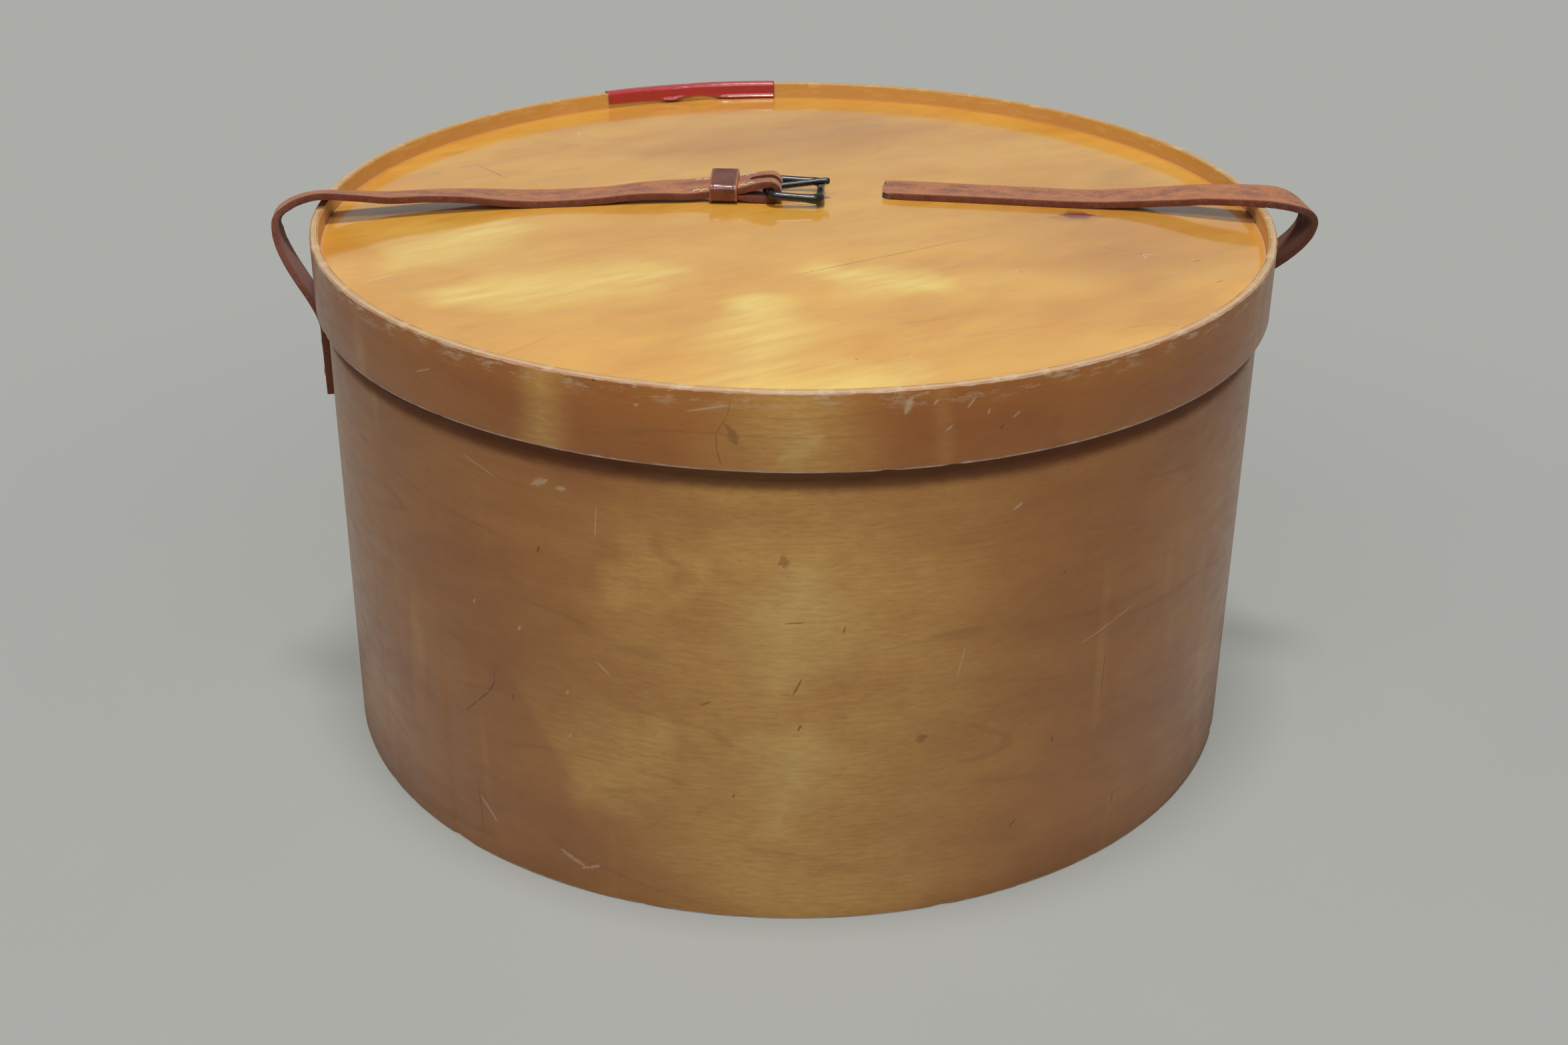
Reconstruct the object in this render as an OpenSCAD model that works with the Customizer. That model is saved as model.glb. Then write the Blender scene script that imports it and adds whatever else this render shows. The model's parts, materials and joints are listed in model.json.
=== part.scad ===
// Round plywood hatbox with a slip-over lid and a leather strap in two halves.
// Millimetres. Z is up, the origin is the middle of the base, and X runs through the two strap tails.

/* [Box] */
// Outside radius of the side wall
wall_r = 220.5; // [180:0.5:260]
// Thickness of the side wall
wall_t = 4; // [3:0.5:6]
// Height from the floor to the rim's top edge, with the lid on
total_h = 250; // [200:1:320]
// Thickness of the bottom board
bottom_t = 4; // [3:0.5:8]
// Height of the strip that is glued above the bottom board
bottom_hoop_h = 12; // [6:1:25]
// Thickness of that strip
bottom_hoop_t = 4; // [2:0.5:6]

/* [Lid] */
// Play between the side wall and the lid's rim, on the radius
lid_play = 0.5; // [0.3:0.1:1.5]
// Thickness of the rim
rim_t = 4; // [3:0.5:6]
// Height of the rim
rim_h = 34; // [26:1:60]
// Depth of the panel's top face below the rim's top edge
panel_recess = 8; // [4:0.5:12]
// Thickness of the panel
panel_t = 4; // [3:0.5:8]
// Height of the strip under the panel
lid_hoop_h = 6; // [4:0.5:10]
// Thickness of that strip
lid_hoop_t = 4; // [2:0.5:6]
// Gap between that strip and the top edge of the side wall
seat_gap = 0.3; // [0.2:0.1:1]

/* [Tape] */
// Thickness of the tape
tape_t = 0.3; // [0.2:0.05:0.6]
// Angle round the rim where the tape starts
tape_from = 85; // [60:1:100]
// Angle round the rim where the tape ends
tape_to = 110; // [105:1:140]
// Gap that the glue keeps between the tape and the rim
tape_glue = 0.15; // [0.15:0.05:0.3]
// How far the tape comes down the outside of the rim
tape_skirt = 14; // [6:1:24]
// Gap between the tape's inner edge and the panel
tape_hem = 0.5; // [0.3:0.1:2]

/* [Strap] */
// Width of the strap
strap_w = 18; // [14:0.5:24]
// Thickness of the strap
strap_t = 3.2; // [2.2:0.1:4]
// Gap between the strap and the wood that it lies on
lie_gap = 0.3; // [0.2:0.1:1]
// Length of the tail that is riveted to the side wall
tail_len = 32; // [32:1:60]
// Radius of the corners at the tail's lower end
tail_corner = 4; // [1:0.5:6]
// Distance of the lower bend line below the rim's lower edge
bend_drop = 16; // [12:1:25]
// Gap left open at each bend line
bend_gap = 0.3; // [0.2:0.1:0.6]
// Gap between the strap and the rim's top edge
rim_over = 1.4; // [1:0.1:5]

/* [Strap layout] */
// Place of the buckle's bar along the lid
bar_x = -6; // [-30:1:10]
// Place of the buckle's bar across the lid
bar_y = 37; // [20:1:55]
// Turn of the buckle end, seen from above
buckle_turn = -10; // [-15:1:5]
// How far the loop of the buckle half stands out from the rim
left_bulge = 18.5; // [15:0.5:30]
// Depth of that loop's outermost point below the rim's top edge
left_drop = 6; // [4:1:14]
// Place of that loop across the box
left_loop_y = 21; // [0:1:30]
// Place of the buckle half across the box, over the rim
left_rim_y = 32; // [10:1:45]
// Distance inside the rim at which the buckle half lands on the panel
left_landing = 105; // [60:1:115]
// Place of the buckle half across the box, where it lands
left_landing_y = 46; // [25:1:55]
// Place of the torn end along the lid
tongue_x = 50; // [35:1:70]
// Place of the torn end across the box
tongue_y = 40; // [25:1:55]
// How far the loop of the torn half stands out from the rim
right_bulge = 25; // [15:0.5:30]
// Depth of that loop's outermost point below the rim's top edge
right_drop = 10; // [4:1:14]
// Place of that loop across the box
right_loop_y = -18; // [-25:1:0]
// Place of the torn half across the box, over the rim
right_rim_y = -19; // [-30:1:0]
// Distance inside the rim at which the torn half lands on the panel
right_landing = 66; // [50:1:80]
// Place of the torn half across the box, where it lands
right_landing_y = 9; // [0:1:25]
// Radius of the torn hole at the end
torn_hole_r = 2.2; // [1:0.1:3.5]

/* [Rivets] */
// Radius of a rivet's shank
shank_r = 1.5; // [1:0.1:2.5]
// Radius of a rivet's head
head_r = 4; // [3:0.1:6]
// Height of a rivet's head
head_h = 1.4; // [0.8:0.1:2.5]
// Distance of the first rivet from the tail's lower end
rivet_inset = 8.5; // [7:0.5:10]
// Distance between the rivets of one tail
rivet_pitch = 15; // [13:0.5:17]
// Radius of a washer
washer_r = 4.5; // [3.5:0.1:7]
// Thickness of a washer
washer_t = 0.9; // [0.5:0.1:1.5]
// Radius of the peened end over the washer
peen_r = 2.3; // [1.8:0.1:3.2]
// Height of the peened end
peen_h = 0.8; // [0.4:0.1:1.5]
// Play of the shank in its hole, on the radius
rivet_play = 0.05; // [0.02:0.01:0.2]

/* [Buckle] */
// Diameter of the rod that the frame is bent from
rod_d = 3.9; // [2.6:0.1:4.2]
// Radius of the frame's corners, to the middle of the rod
rod_bend = 4; // [2.5:0.1:4.5]
// Distance from the bar to the far rod
frame_len = 24.5; // [20:0.5:35]
// How far the stiff fold holds the far rod above the panel
far_lift = 2.2; // [0:0.1:2.8]
// Gap between the strap's edge and the frame's side rod
side_play = 2.4; // [1.5:0.1:4]
// Diameter of the prong
prong_d = 3.2; // [2:0.1:3.6]
// How far the prong reaches past the far rod
prong_reach = 3; // [2.5:0.5:6]
// Length of the prong's bent tip
tip_len = 4; // [3:0.1:6]
// Bend of the prong's tip
tip_bend = 35; // [20:1:50]
// Share of its diameter that the prong keeps at the tip
tip_taper = 0.85; // [0.6:0.05:0.9]
// Width of the prong's eye along the bar
eye_w = 4; // [3:0.1:6]
// Thickness of the prong's eye round the bar
eye_t = 1.5; // [1:0.1:2]
// Play on the bar, on the radius, of the fold and of the prong's eye
bar_play = 0.3; // [0.2:0.05:0.6]
// Play of the prong's eye in the strap's slot, on each side
slot_play = 0.5; // [0.3:0.1:1.2]
// Reach of the slot behind the bar, in the upper layer
slot_back = 11; // [9:0.5:13]

/* [Keeper] */
// Length of the keeper along the strap
keeper_len = 13.5; // [8:0.5:18]
// Thickness of the keeper's leather
keeper_t = 2.3; // [1.2:0.1:3]
// Distance from the bar to the keeper
keeper_back = 16; // [14:0.5:24]
// Play of the layers in the keeper and against each other
layer_play = 0.15; // [0.1:0.05:0.4]
// Radius of the keeper's outer corners
keeper_corner = 2.5; // [1:0.1:3]
// How far the folded-back layer reaches past the keeper
fold_tail = 11; // [8:0.5:16]
// Length of the strap's rise from the panel to the upper layer
rise_len = 30; // [20:1:45]
// Diameter of the thread
thread_d = 0.9; // [0.5:0.1:1.4]
// Share of its diameter that the thread keeps where it is pulled through the leather
thread_pull = 0.75; // [0.6:0.05:0.9]
// Length of a stitch
stitch_len = 3; // [2:0.1:4]
// Distance of the stitches from the strap's edge
stitch_inset = 2.2; // [1.5:0.1:4]
// Distance between stitches
stitch_pitch = 4; // [3:0.1:6]
// Stitches in a row
stitch_count = 2; // [1:1:3]

/* [Hidden] */
$fn = 96;
BIG = 4 * wall_r;
CUT = 1;

// Radii and levels of the wood
wall_in = wall_r - wall_t;
rim_in = wall_r + lid_play;
rim_r = rim_in + rim_t;
rim_low = total_h - rim_h;
panel_z = total_h - panel_recess;
panel_low = panel_z - panel_t;
wall_top = panel_low - lid_hoop_h - seat_gap;

// Levels of the strap's middle line
bend_z = rim_low - bend_drop;
tail_foot = bend_z - bend_gap - tail_len;
rim_pass_z = total_h + rim_over + strap_t / 2;
lie_z = panel_z + lie_gap + strap_t / 2;

// The fold round the bar, and the two layers in the keeper
fold_r = rod_d / 2 + bar_play + strap_t / 2;
bar_z = lie_z + fold_r;
low_z = panel_z + lie_gap + keeper_t + layer_play + strap_t / 2;
up_z = low_z + strap_t + layer_play;
keeper_x1 = -keeper_back;
keeper_x0 = keeper_x1 - keeper_len;
fold_end_x = keeper_x0 - fold_tail;
keeper_in_w = strap_w + 2 * layer_play;
keeper_low = panel_z + lie_gap;
keeper_top = up_z + strap_t / 2 + layer_play + keeper_t;
fold_droop = 0.8;

// The stiff fold holds the buckle's far rod a little above the panel, and lower than the bar, so the frame leans
rod_y = strap_w / 2 + side_play + rod_d / 2;
far_drop = bar_z - (panel_z + lie_gap + far_lift + rod_d / 2);
frame_lean = asin(far_drop / frame_len);
far_x = frame_len * cos(frame_lean);
eye_in = rod_d / 2 + bar_play;
prong_rise = rod_d / 2 + bar_play + prong_d / 2 - far_drop;
prong_lift = atan(prong_rise / far_x);
prong_len = far_x / cos(prong_lift) + prong_reach;

function unit(v) = v / norm(v);

// A smooth line through knots. A knot is [point, heading], and a station on the line has the same form.
// A heading of length 1 gives a full bend, and a shorter one turns away sooner.
function along(a, b, s) =
    let (
        l = norm(b[0] - a[0]),
        place = (2 * s^3 - 3 * s^2 + 1) * a[0] + (s^3 - 2 * s^2 + s) * l * a[1]
            + (3 * s^2 - 2 * s^3) * b[0] + (s^3 - s^2) * l * b[1],
        slope = (6 * s^2 - 6 * s) * (a[0] - b[0]) + (3 * s^2 - 4 * s + 1) * l * a[1]
            + (3 * s^2 - 2 * s) * l * b[1]
    ) [place, unit(slope)];

function line(knots, steps, start = 0, stop = 1) = [
    for (i = [0:len(knots) - 2], k = [0:steps])
        if (k < steps || i == len(knots) - 2)
            let (
                s0 = i == 0 ? start : 0,
                s1 = i == len(knots) - 2 ? stop : 1
            ) along(knots[i], knots[i + 1], s0 + (s1 - s0) * k / steps)
];

// The strap's section at a station. Its width stays level across the run, or along the bar if the station says so.
function section(station) =
    let (
        t = station[1],
        across = len(station) > 2 ? station[2] : [0, 1, 0],
        w = unit(across - (across * t) * t) * strap_w / 2,
        n = unit(cross(t, w)) * strap_t / 2,
        p = station[0]
    ) [p + w + n, p - w + n, p - w - n, p + w - n];

module band(stations) {
    last = len(stations) - 1;
    skin = [
        for (i = [0:last - 1], j = [0:3])
            let (a = 4 * i + j, b = 4 * i + (j + 1) % 4)
                each [[a + 4, b + 4, b], [a + 4, b, a]]
    ];
    ends = [[0, 1, 2], [0, 2, 3], [4 * last + 2, 4 * last + 1, 4 * last], [4 * last + 3, 4 * last + 2, 4 * last]];
    polyhedron([for (s = stations) each section(s)], concat(skin, ends));
}

// Knots of the left strap, from its lower bend line upwards. The right strap is a mirrored left one.
function foot_knot(pull) = [[-(wall_r + lie_gap + strap_t / 2), 0, bend_z], [0, 0, pull]];
function loop_knot(bulge, drop, y, lean) = [
    [-(rim_r + bulge - strap_t / 2), y, total_h - drop],
    unit([0, lean, 1])
];
function rim_knot(y, drift) = [[-(rim_r - rim_t / 2), y, rim_pass_z], [1, drift, 0]];

// The buckle end is laid out from the middle of the bar, with X towards the far rod, then turned on the lid
function turned(v) = [
    v[0] * cos(buckle_turn) - v[1] * sin(buckle_turn),
    v[0] * sin(buckle_turn) + v[1] * cos(buckle_turn),
    v[2]
];
function end_knot(x, z, heading) = [[bar_x, bar_y, 0] + turned([x, 0, z]), turned(heading), turned([0, 1, 0])];

// How long each half keeps upright above its lower bend line, as a share of a full bend
left_pull = 0.8;
right_pull = 0.5;

// Slope across the box where each half passes its loop, the rim and the panel
left_lean = 0.45;
left_drift = 0.22;
left_slope = 0.05;
right_lean = -0.25;
right_drift = 0.28;
right_slope = 0.24;
tongue_slope = 0.26;

left_loop = loop_knot(left_bulge, left_drop, left_loop_y, left_lean);
right_loop = loop_knot(right_bulge, right_drop, right_loop_y, right_lean);

left_run_knots = [
    left_loop,
    rim_knot(left_rim_y, left_drift),
    [[-(rim_r - left_landing), left_landing_y, lie_z], [1, left_slope, 0]],
    end_knot(fold_end_x - rise_len, lie_z, [1, 0, 0]),
    end_knot(fold_end_x, up_z - fold_droop, [1, 0, 0.1]),
    end_knot(keeper_x0, up_z, [1, 0, 0]),
    end_knot(keeper_x1, up_z, [1, 0, 0]),
    end_knot(0, bar_z + fold_r, [1, 0, 0])
];
fold_turn = [
    for (a = [75:-15:-75])
        end_knot(fold_r * cos(a), bar_z + fold_r * sin(a), [sin(a), 0, -cos(a)])
];
fold_back_knots = [
    end_knot(0, bar_z - fold_r, [-1, 0, 0]),
    end_knot(keeper_x1, low_z, [-1, 0, 0]),
    end_knot(keeper_x0, low_z, [-1, 0, 0]),
    end_knot(fold_end_x, low_z - fold_droop, [-1, 0, -0.1])
];
right_run_knots = [
    right_loop,
    rim_knot(right_rim_y, right_drift),
    [[-(rim_r - right_landing), right_landing_y, lie_z], [1, right_slope, 0]],
    [[-tongue_x, tongue_y, lie_z], [1, tongue_slope, 0]]
];

// Levels of the upper layer's middle line, from the rise to the bar
rise_line = line([for (i = [3:7]) left_run_knots[i]], 8);
rise_levels = [for (s = rise_line) [-norm([s[0][0] - bar_x, s[0][1] - bar_y]), s[0][2]]];

// The bend lines, as a point on the strap's outer face and the direction across the strap
function bend_point(knot) =
    let (t = unit(knot[1]), w = unit([0, 1, 0] - t[1] * t)) knot[0] + cross(t, w) * strap_t / 2;
function bend_across(knot) = let (t = unit(knot[1])) unit([0, 1, 0] - t[1] * t);
echo(lower_bend = bend_point(foot_knot(1)), across = bend_across(foot_knot(1)));
echo(left_loop_bend = bend_point(left_loop), across = bend_across(left_loop));
echo(right_loop_bend_mirrored = bend_point(right_loop), across = bend_across(right_loop));
echo(bar = [bar_x, bar_y, bar_z], across = turned([0, 1, 0]));

module hoop(r_out, thickness, low, high) {
    translate([0, 0, low])
        difference() {
            cylinder(r = r_out, h = high - low);
            translate([0, 0, -CUT])
                cylinder(r = r_out - thickness, h = high - low + 2 * CUT);
        }
}

module rod(from, to, d) {
    run = to - from;
    translate(from)
        rotate([0, acos(run[2] / norm(run)), atan2(run[1], run[0])])
            cylinder(d = d, h = norm(run), $fn = 48);
}

module disc(r, low, thickness) {
    translate([0, 0, low])
        cylinder(r = r, h = thickness);
}

// Lays its children out along -X at each rivet of the left tail, with +Z pointing out of the wall
module at_left_rivets() {
    for (i = [0:1])
        translate([0, 0, tail_foot + rivet_inset + i * rivet_pitch])
            rotate([0, -90, 0])
                children();
}

module rivet_holes() {
    at_left_rivets()
        translate([0, 0, wall_in - 10 * CUT])
            cylinder(r = shank_r + rivet_play, h = wall_t + strap_t + 20 * CUT, $fn = 32);
}

module body_wall() {
    color("peru")
        difference() {
            hoop(wall_r, wall_t, 0, wall_top);
            rivet_holes();
            mirror([1, 0, 0])
                rivet_holes();
        }
}

module bottom_board() {
    color("burlywood")
        disc(wall_in, 0, bottom_t);
}

module bottom_hoop() {
    color("tan")
        hoop(wall_in, bottom_hoop_t, bottom_t, bottom_t + bottom_hoop_h);
}

module lid_rim() {
    color("peru")
        hoop(rim_r, rim_t, rim_low, total_h);
}

module lid_panel() {
    color("goldenrod")
        disc(rim_in, panel_low, panel_t);
}

module lid_hoop() {
    color("tan")
        hoop(rim_in, lid_hoop_t, panel_low - lid_hoop_h, panel_low);
}

module rim_tape() {
    outer = rim_r + tape_glue;
    inner = rim_in - tape_glue - tape_t;
    top = total_h + tape_glue;
    color("crimson")
        rotate([0, 0, tape_from])
            rotate_extrude(angle = tape_to - tape_from) {
                translate([outer, total_h - tape_skirt])
                    square([tape_t, top + tape_t - (total_h - tape_skirt)]);
                translate([inner, top])
                    square([outer + tape_t - inner, tape_t]);
                translate([inner, panel_z + tape_hem])
                    square([tape_t, top + tape_t - (panel_z + tape_hem)]);
            }
}

module tail_outline() {
    translate([0, -strap_w / 2 + tail_corner])
        square([tail_corner, strap_w - 2 * tail_corner]);
    translate([tail_corner, -strap_w / 2])
        square([tail_len - tail_corner, strap_w]);
    for (side = [-1, 1])
        translate([tail_corner, side * (strap_w / 2 - tail_corner)])
            circle(r = tail_corner, $fn = 48);
}

module strap_tail() {
    difference() {
        intersection() {
            hoop(wall_r + strap_t, strap_t, tail_foot, tail_foot + tail_len);
            translate([0, 0, tail_foot])
                rotate([0, -90, 0])
                    linear_extrude(BIG)
                        tail_outline();
        }
        rivet_holes();
    }
}

module left_strap_tail() {
    color("saddlebrown")
        strap_tail();
}

module right_strap_tail() {
    color("saddlebrown")
        mirror([1, 0, 0])
            strap_tail();
}

module strap_riser(foot, loop) {
    short = 1 - bend_gap / norm(loop[0] - foot[0]);
    band(line([foot, loop], 12, 0, short));
}

module left_strap_riser() {
    color("sienna")
        strap_riser(foot_knot(left_pull), left_loop);
}

module right_strap_riser() {
    color("sienna")
        mirror([1, 0, 0])
            strap_riser(foot_knot(right_pull), right_loop);
}

// Places its children at the buckle end, which is laid out from the middle of the bar
module at_buckle(z = 0) {
    translate([bar_x, bar_y, z])
        rotate([0, 0, buckle_turn])
            children();
}

// The slot for the prong's eye: through both layers at the bar, and further back in the upper one
module prong_slot() {
    slot_w = eye_w + 2 * slot_play;
    eye_room = eye_in + eye_t + slot_play;
    at_buckle() {
        translate([-eye_room, -slot_w / 2, panel_z])
            cube([eye_room + fold_r + strap_t, slot_w, keeper_top - panel_z]);
        translate([-slot_back, -slot_w / 2, bar_z])
            cube([slot_back, slot_w, keeper_top - bar_z]);
    }
}

module left_strap_run() {
    color("sienna")
        difference() {
            band(concat(line(left_run_knots, 8), fold_turn, line(fold_back_knots, 5)));
            prong_slot();
        }
}

module right_strap_run() {
    color("sienna")
        mirror([1, 0, 0])
            difference() {
                band(line(right_run_knots, 8));
                translate([-tongue_x, tongue_y, panel_z])
                    cylinder(r = torn_hole_r, h = 3 * strap_t, $fn = 32);
            }
}

module rivet_pair() {
    dome_r = (head_r^2 + head_h^2) / (2 * head_h);
    at_left_rivets() {
        translate([0, 0, wall_in - washer_t - peen_h])
            cylinder(r = shank_r, h = wall_t + strap_t + washer_t + peen_h, $fn = 32);
        translate([0, 0, washer_seat() - washer_t - peen_h])
            cylinder(r = peen_r, h = peen_h, $fn = 32);
        intersection() {
            translate([0, 0, wall_r + strap_t + head_h - dome_r])
                sphere(r = dome_r);
            translate([0, 0, wall_r + strap_t])
                cylinder(r = head_r, h = head_h, $fn = 48);
        }
    }
}

// A flat washer touches the hollow wall at its two sides
function washer_seat() = sqrt(wall_in^2 - washer_r^2);

module washer_pair() {
    at_left_rivets()
        translate([0, 0, washer_seat() - washer_t])
            difference() {
                cylinder(r = washer_r, h = washer_t, $fn = 48);
                translate([0, 0, -CUT])
                    cylinder(r = shank_r + rivet_play, h = washer_t + 2 * CUT, $fn = 32);
            }
}

module left_rivets() {
    color("darkgoldenrod")
        rivet_pair();
}

module right_rivets() {
    color("darkgoldenrod")
        mirror([1, 0, 0])
            rivet_pair();
}

module left_rivet_washers() {
    color("gold")
        washer_pair();
}

module right_rivet_washers() {
    color("gold")
        mirror([1, 0, 0])
            washer_pair();
}

module soft_box(w, h, r) {
    square([w - 2 * r, h], center = true);
    square([w, h - 2 * r], center = true);
    for (x = [-1, 1], y = [-1, 1])
        translate([x * (w / 2 - r), y * (h / 2 - r)])
            circle(r = r, $fn = 48);
}

module keeper() {
    w = keeper_in_w + 2 * keeper_t;
    h = keeper_top - keeper_low;
    color("maroon")
        at_buckle((keeper_low + keeper_top) / 2)
            translate([keeper_x0, 0, 0])
                rotate([90, 0, 90])
                    linear_extrude(keeper_len)
                        difference() {
                            soft_box(w, h, keeper_corner);
                            square([w - 2 * keeper_t, h - 2 * keeper_t], center = true);
                        }
}

// A stitch lies on the upper layer, sunk to half its thread, and both its ends go down through the two layers
module stitch(x, y) {
    ends = [
        for (end_x = [x - stitch_len / 2, x + stitch_len / 2])
            [end_x, y, lookup(end_x, rise_levels) + strap_t / 2]
    ];
    rod(ends[0] - [thread_d / 2, 0, 0], ends[1] + [thread_d / 2, 0, 0], thread_d);
    for (end = ends)
        rod(end - [0, 0, 2 * strap_t], end, thread_d * thread_pull);
}

module strap_stitches() {
    stitch_y = strap_w / 2 - stitch_inset;
    first = thread_d + stitch_len / 2;
    color("wheat")
        at_buckle()
            for (y = [-stitch_y, stitch_y], i = [0:stitch_count - 1]) {
                stitch(keeper_x1 + first + i * stitch_pitch, y);
                stitch(keeper_x0 - first - i * stitch_pitch, y);
            }
}

// One rod, bent to a closed frame: two long rods, two cross rods and four bends that meet them end to end
module buckle_frame() {
    color("black")
        at_buckle(bar_z)
            rotate([0, frame_lean, 0]) {
                for (x = [0, frame_len])
                    rod([x, rod_bend - rod_y, 0], [x, rod_y - rod_bend, 0], rod_d);
                for (side = [-1, 1])
                    rod([rod_bend, side * rod_y, 0], [frame_len - rod_bend, side * rod_y, 0], rod_d);
                for (corner = [[rod_bend, -1, 180], [rod_bend, 1, 90],
                        [frame_len - rod_bend, 1, 0], [frame_len - rod_bend, -1, 270]])
                    translate([corner[0], corner[1] * (rod_y - rod_bend), 0])
                        rotate([0, 0, corner[2]])
                            rotate_extrude(angle = 90)
                                translate([rod_bend, 0])
                                    circle(d = rod_d, $fn = 48);
            }
}

// The prong's tip starts inside its rod and bends down over the far rod
module buckle_prong() {
    knuckle = [prong_len - prong_d / 2, 0, 0];
    color("dimgray")
        at_buckle(bar_z)
            rotate([0, -prong_lift, 0]) {
                rotate([90, 0, 0])
                    difference() {
                        cylinder(r = eye_in + eye_t, h = eye_w, center = true, $fn = 48);
                        cylinder(r = eye_in, h = eye_w + 2 * CUT, center = true, $fn = 48);
                    }
                rod([eye_in + eye_t / 2, 0, 0], [prong_len, 0, 0], prong_d);
                rod(knuckle, knuckle + tip_len * [cos(tip_bend), 0, -sin(tip_bend)], prong_d * tip_taper);
            }
}

body_wall();
bottom_board();
bottom_hoop();
lid_rim();
lid_panel();
lid_hoop();
rim_tape();
left_strap_tail();
left_strap_riser();
left_strap_run();
right_strap_tail();
right_strap_riser();
right_strap_run();
left_rivets();
right_rivets();
left_rivet_washers();
right_rivet_washers();
keeper();
strap_stitches();
buckle_frame();
buckle_prong();
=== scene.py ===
# %% [markdown]
# # A plywood hatbox
# The box is a hoop of bent plywood with a board for its bottom. A shallower hoop slips over it as the lid's
# rim, and holds a round panel below its top edge. A leather strap in two halves, riveted to the wall,
# closes the lid. The solids give every place and size. This script dresses them: it loads them as a fixed
# frame, builds the visible pieces round them in mesh code, and mixes each finish from shader nodes. Mesh
# code counts in millimetres, the frame and the shader nodes count in metres.

# %% Load the solids
import json
import math

import bmesh
import bpy
import numpy as np
from mathutils import Matrix, Vector

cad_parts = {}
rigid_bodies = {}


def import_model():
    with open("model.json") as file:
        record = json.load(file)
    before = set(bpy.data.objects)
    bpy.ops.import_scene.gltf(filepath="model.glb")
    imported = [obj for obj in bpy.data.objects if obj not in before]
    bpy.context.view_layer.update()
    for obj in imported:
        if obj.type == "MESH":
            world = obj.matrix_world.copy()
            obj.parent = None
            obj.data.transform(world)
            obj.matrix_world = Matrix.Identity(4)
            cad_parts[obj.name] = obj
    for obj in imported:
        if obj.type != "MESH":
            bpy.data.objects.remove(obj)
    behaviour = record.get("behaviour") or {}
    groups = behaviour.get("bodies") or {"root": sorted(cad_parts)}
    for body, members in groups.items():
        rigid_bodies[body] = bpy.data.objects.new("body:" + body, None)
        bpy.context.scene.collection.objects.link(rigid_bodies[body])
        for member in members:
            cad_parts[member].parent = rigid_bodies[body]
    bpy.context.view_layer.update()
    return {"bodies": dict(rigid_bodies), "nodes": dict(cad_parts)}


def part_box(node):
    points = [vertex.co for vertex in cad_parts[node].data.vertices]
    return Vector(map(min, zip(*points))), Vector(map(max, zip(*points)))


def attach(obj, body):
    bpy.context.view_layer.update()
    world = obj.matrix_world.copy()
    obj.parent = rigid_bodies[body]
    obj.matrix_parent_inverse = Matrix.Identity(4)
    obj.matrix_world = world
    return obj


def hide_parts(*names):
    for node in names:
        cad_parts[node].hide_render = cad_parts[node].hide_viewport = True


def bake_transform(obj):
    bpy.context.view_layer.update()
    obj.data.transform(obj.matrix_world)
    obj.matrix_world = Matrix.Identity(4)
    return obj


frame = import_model()
MM = 0.001
print("bodies:", ", ".join(frame["bodies"]))

# %% [markdown]
# ## Camera
# A picture is easiest to compare when the camera stands where the photographer stood. Its place came from
# the ellipses that the lid, the rim and the foot make in the photograph: a wide ellipse means a high
# camera, and the way the wall narrows towards the floor gives the distance. The lens is a little longer
# than normal, and it has no shift.

# %% Camera
camera_place = Vector((-133.7, -951.4, 565.0)) * MM
heading = math.radians(7.809)
dip = math.radians(26.699)
tilt = math.radians(0.466)

ahead = Vector((math.sin(heading) * math.cos(dip), math.cos(heading) * math.cos(dip), -math.sin(dip)))
right = Vector((math.cos(heading), -math.sin(heading), 0))
above = right.cross(ahead)
camera_x = right * math.cos(tilt) + above * math.sin(tilt)
camera_y = above * math.cos(tilt) - right * math.sin(tilt)
camera_axes = Matrix((camera_x, camera_y, -ahead)).transposed()

camera = bpy.data.objects.new("photo_view", bpy.data.cameras.new("photo_view"))
camera.data.sensor_width = 36.0
camera.data.lens = 48.412
camera.data.clip_end = 30.0
camera.matrix_world = Matrix.Translation(camera_place) @ camera_axes.to_4x4()
bpy.context.collection.objects.link(camera)
bpy.context.scene.camera = camera
print("camera", round(camera_place.length, 3), "m from the middle of the base")

# %% [markdown]
# ## Short ways to add shader nodes
# Every finish below is a small tree of nodes. Written out in full, each node takes five or six lines, and
# the idea gets lost. This class keeps one tree, and has a short method for each kind of node that the
# finishes use. A name with a space, such as Base Color, is written with _ in its place.

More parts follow.
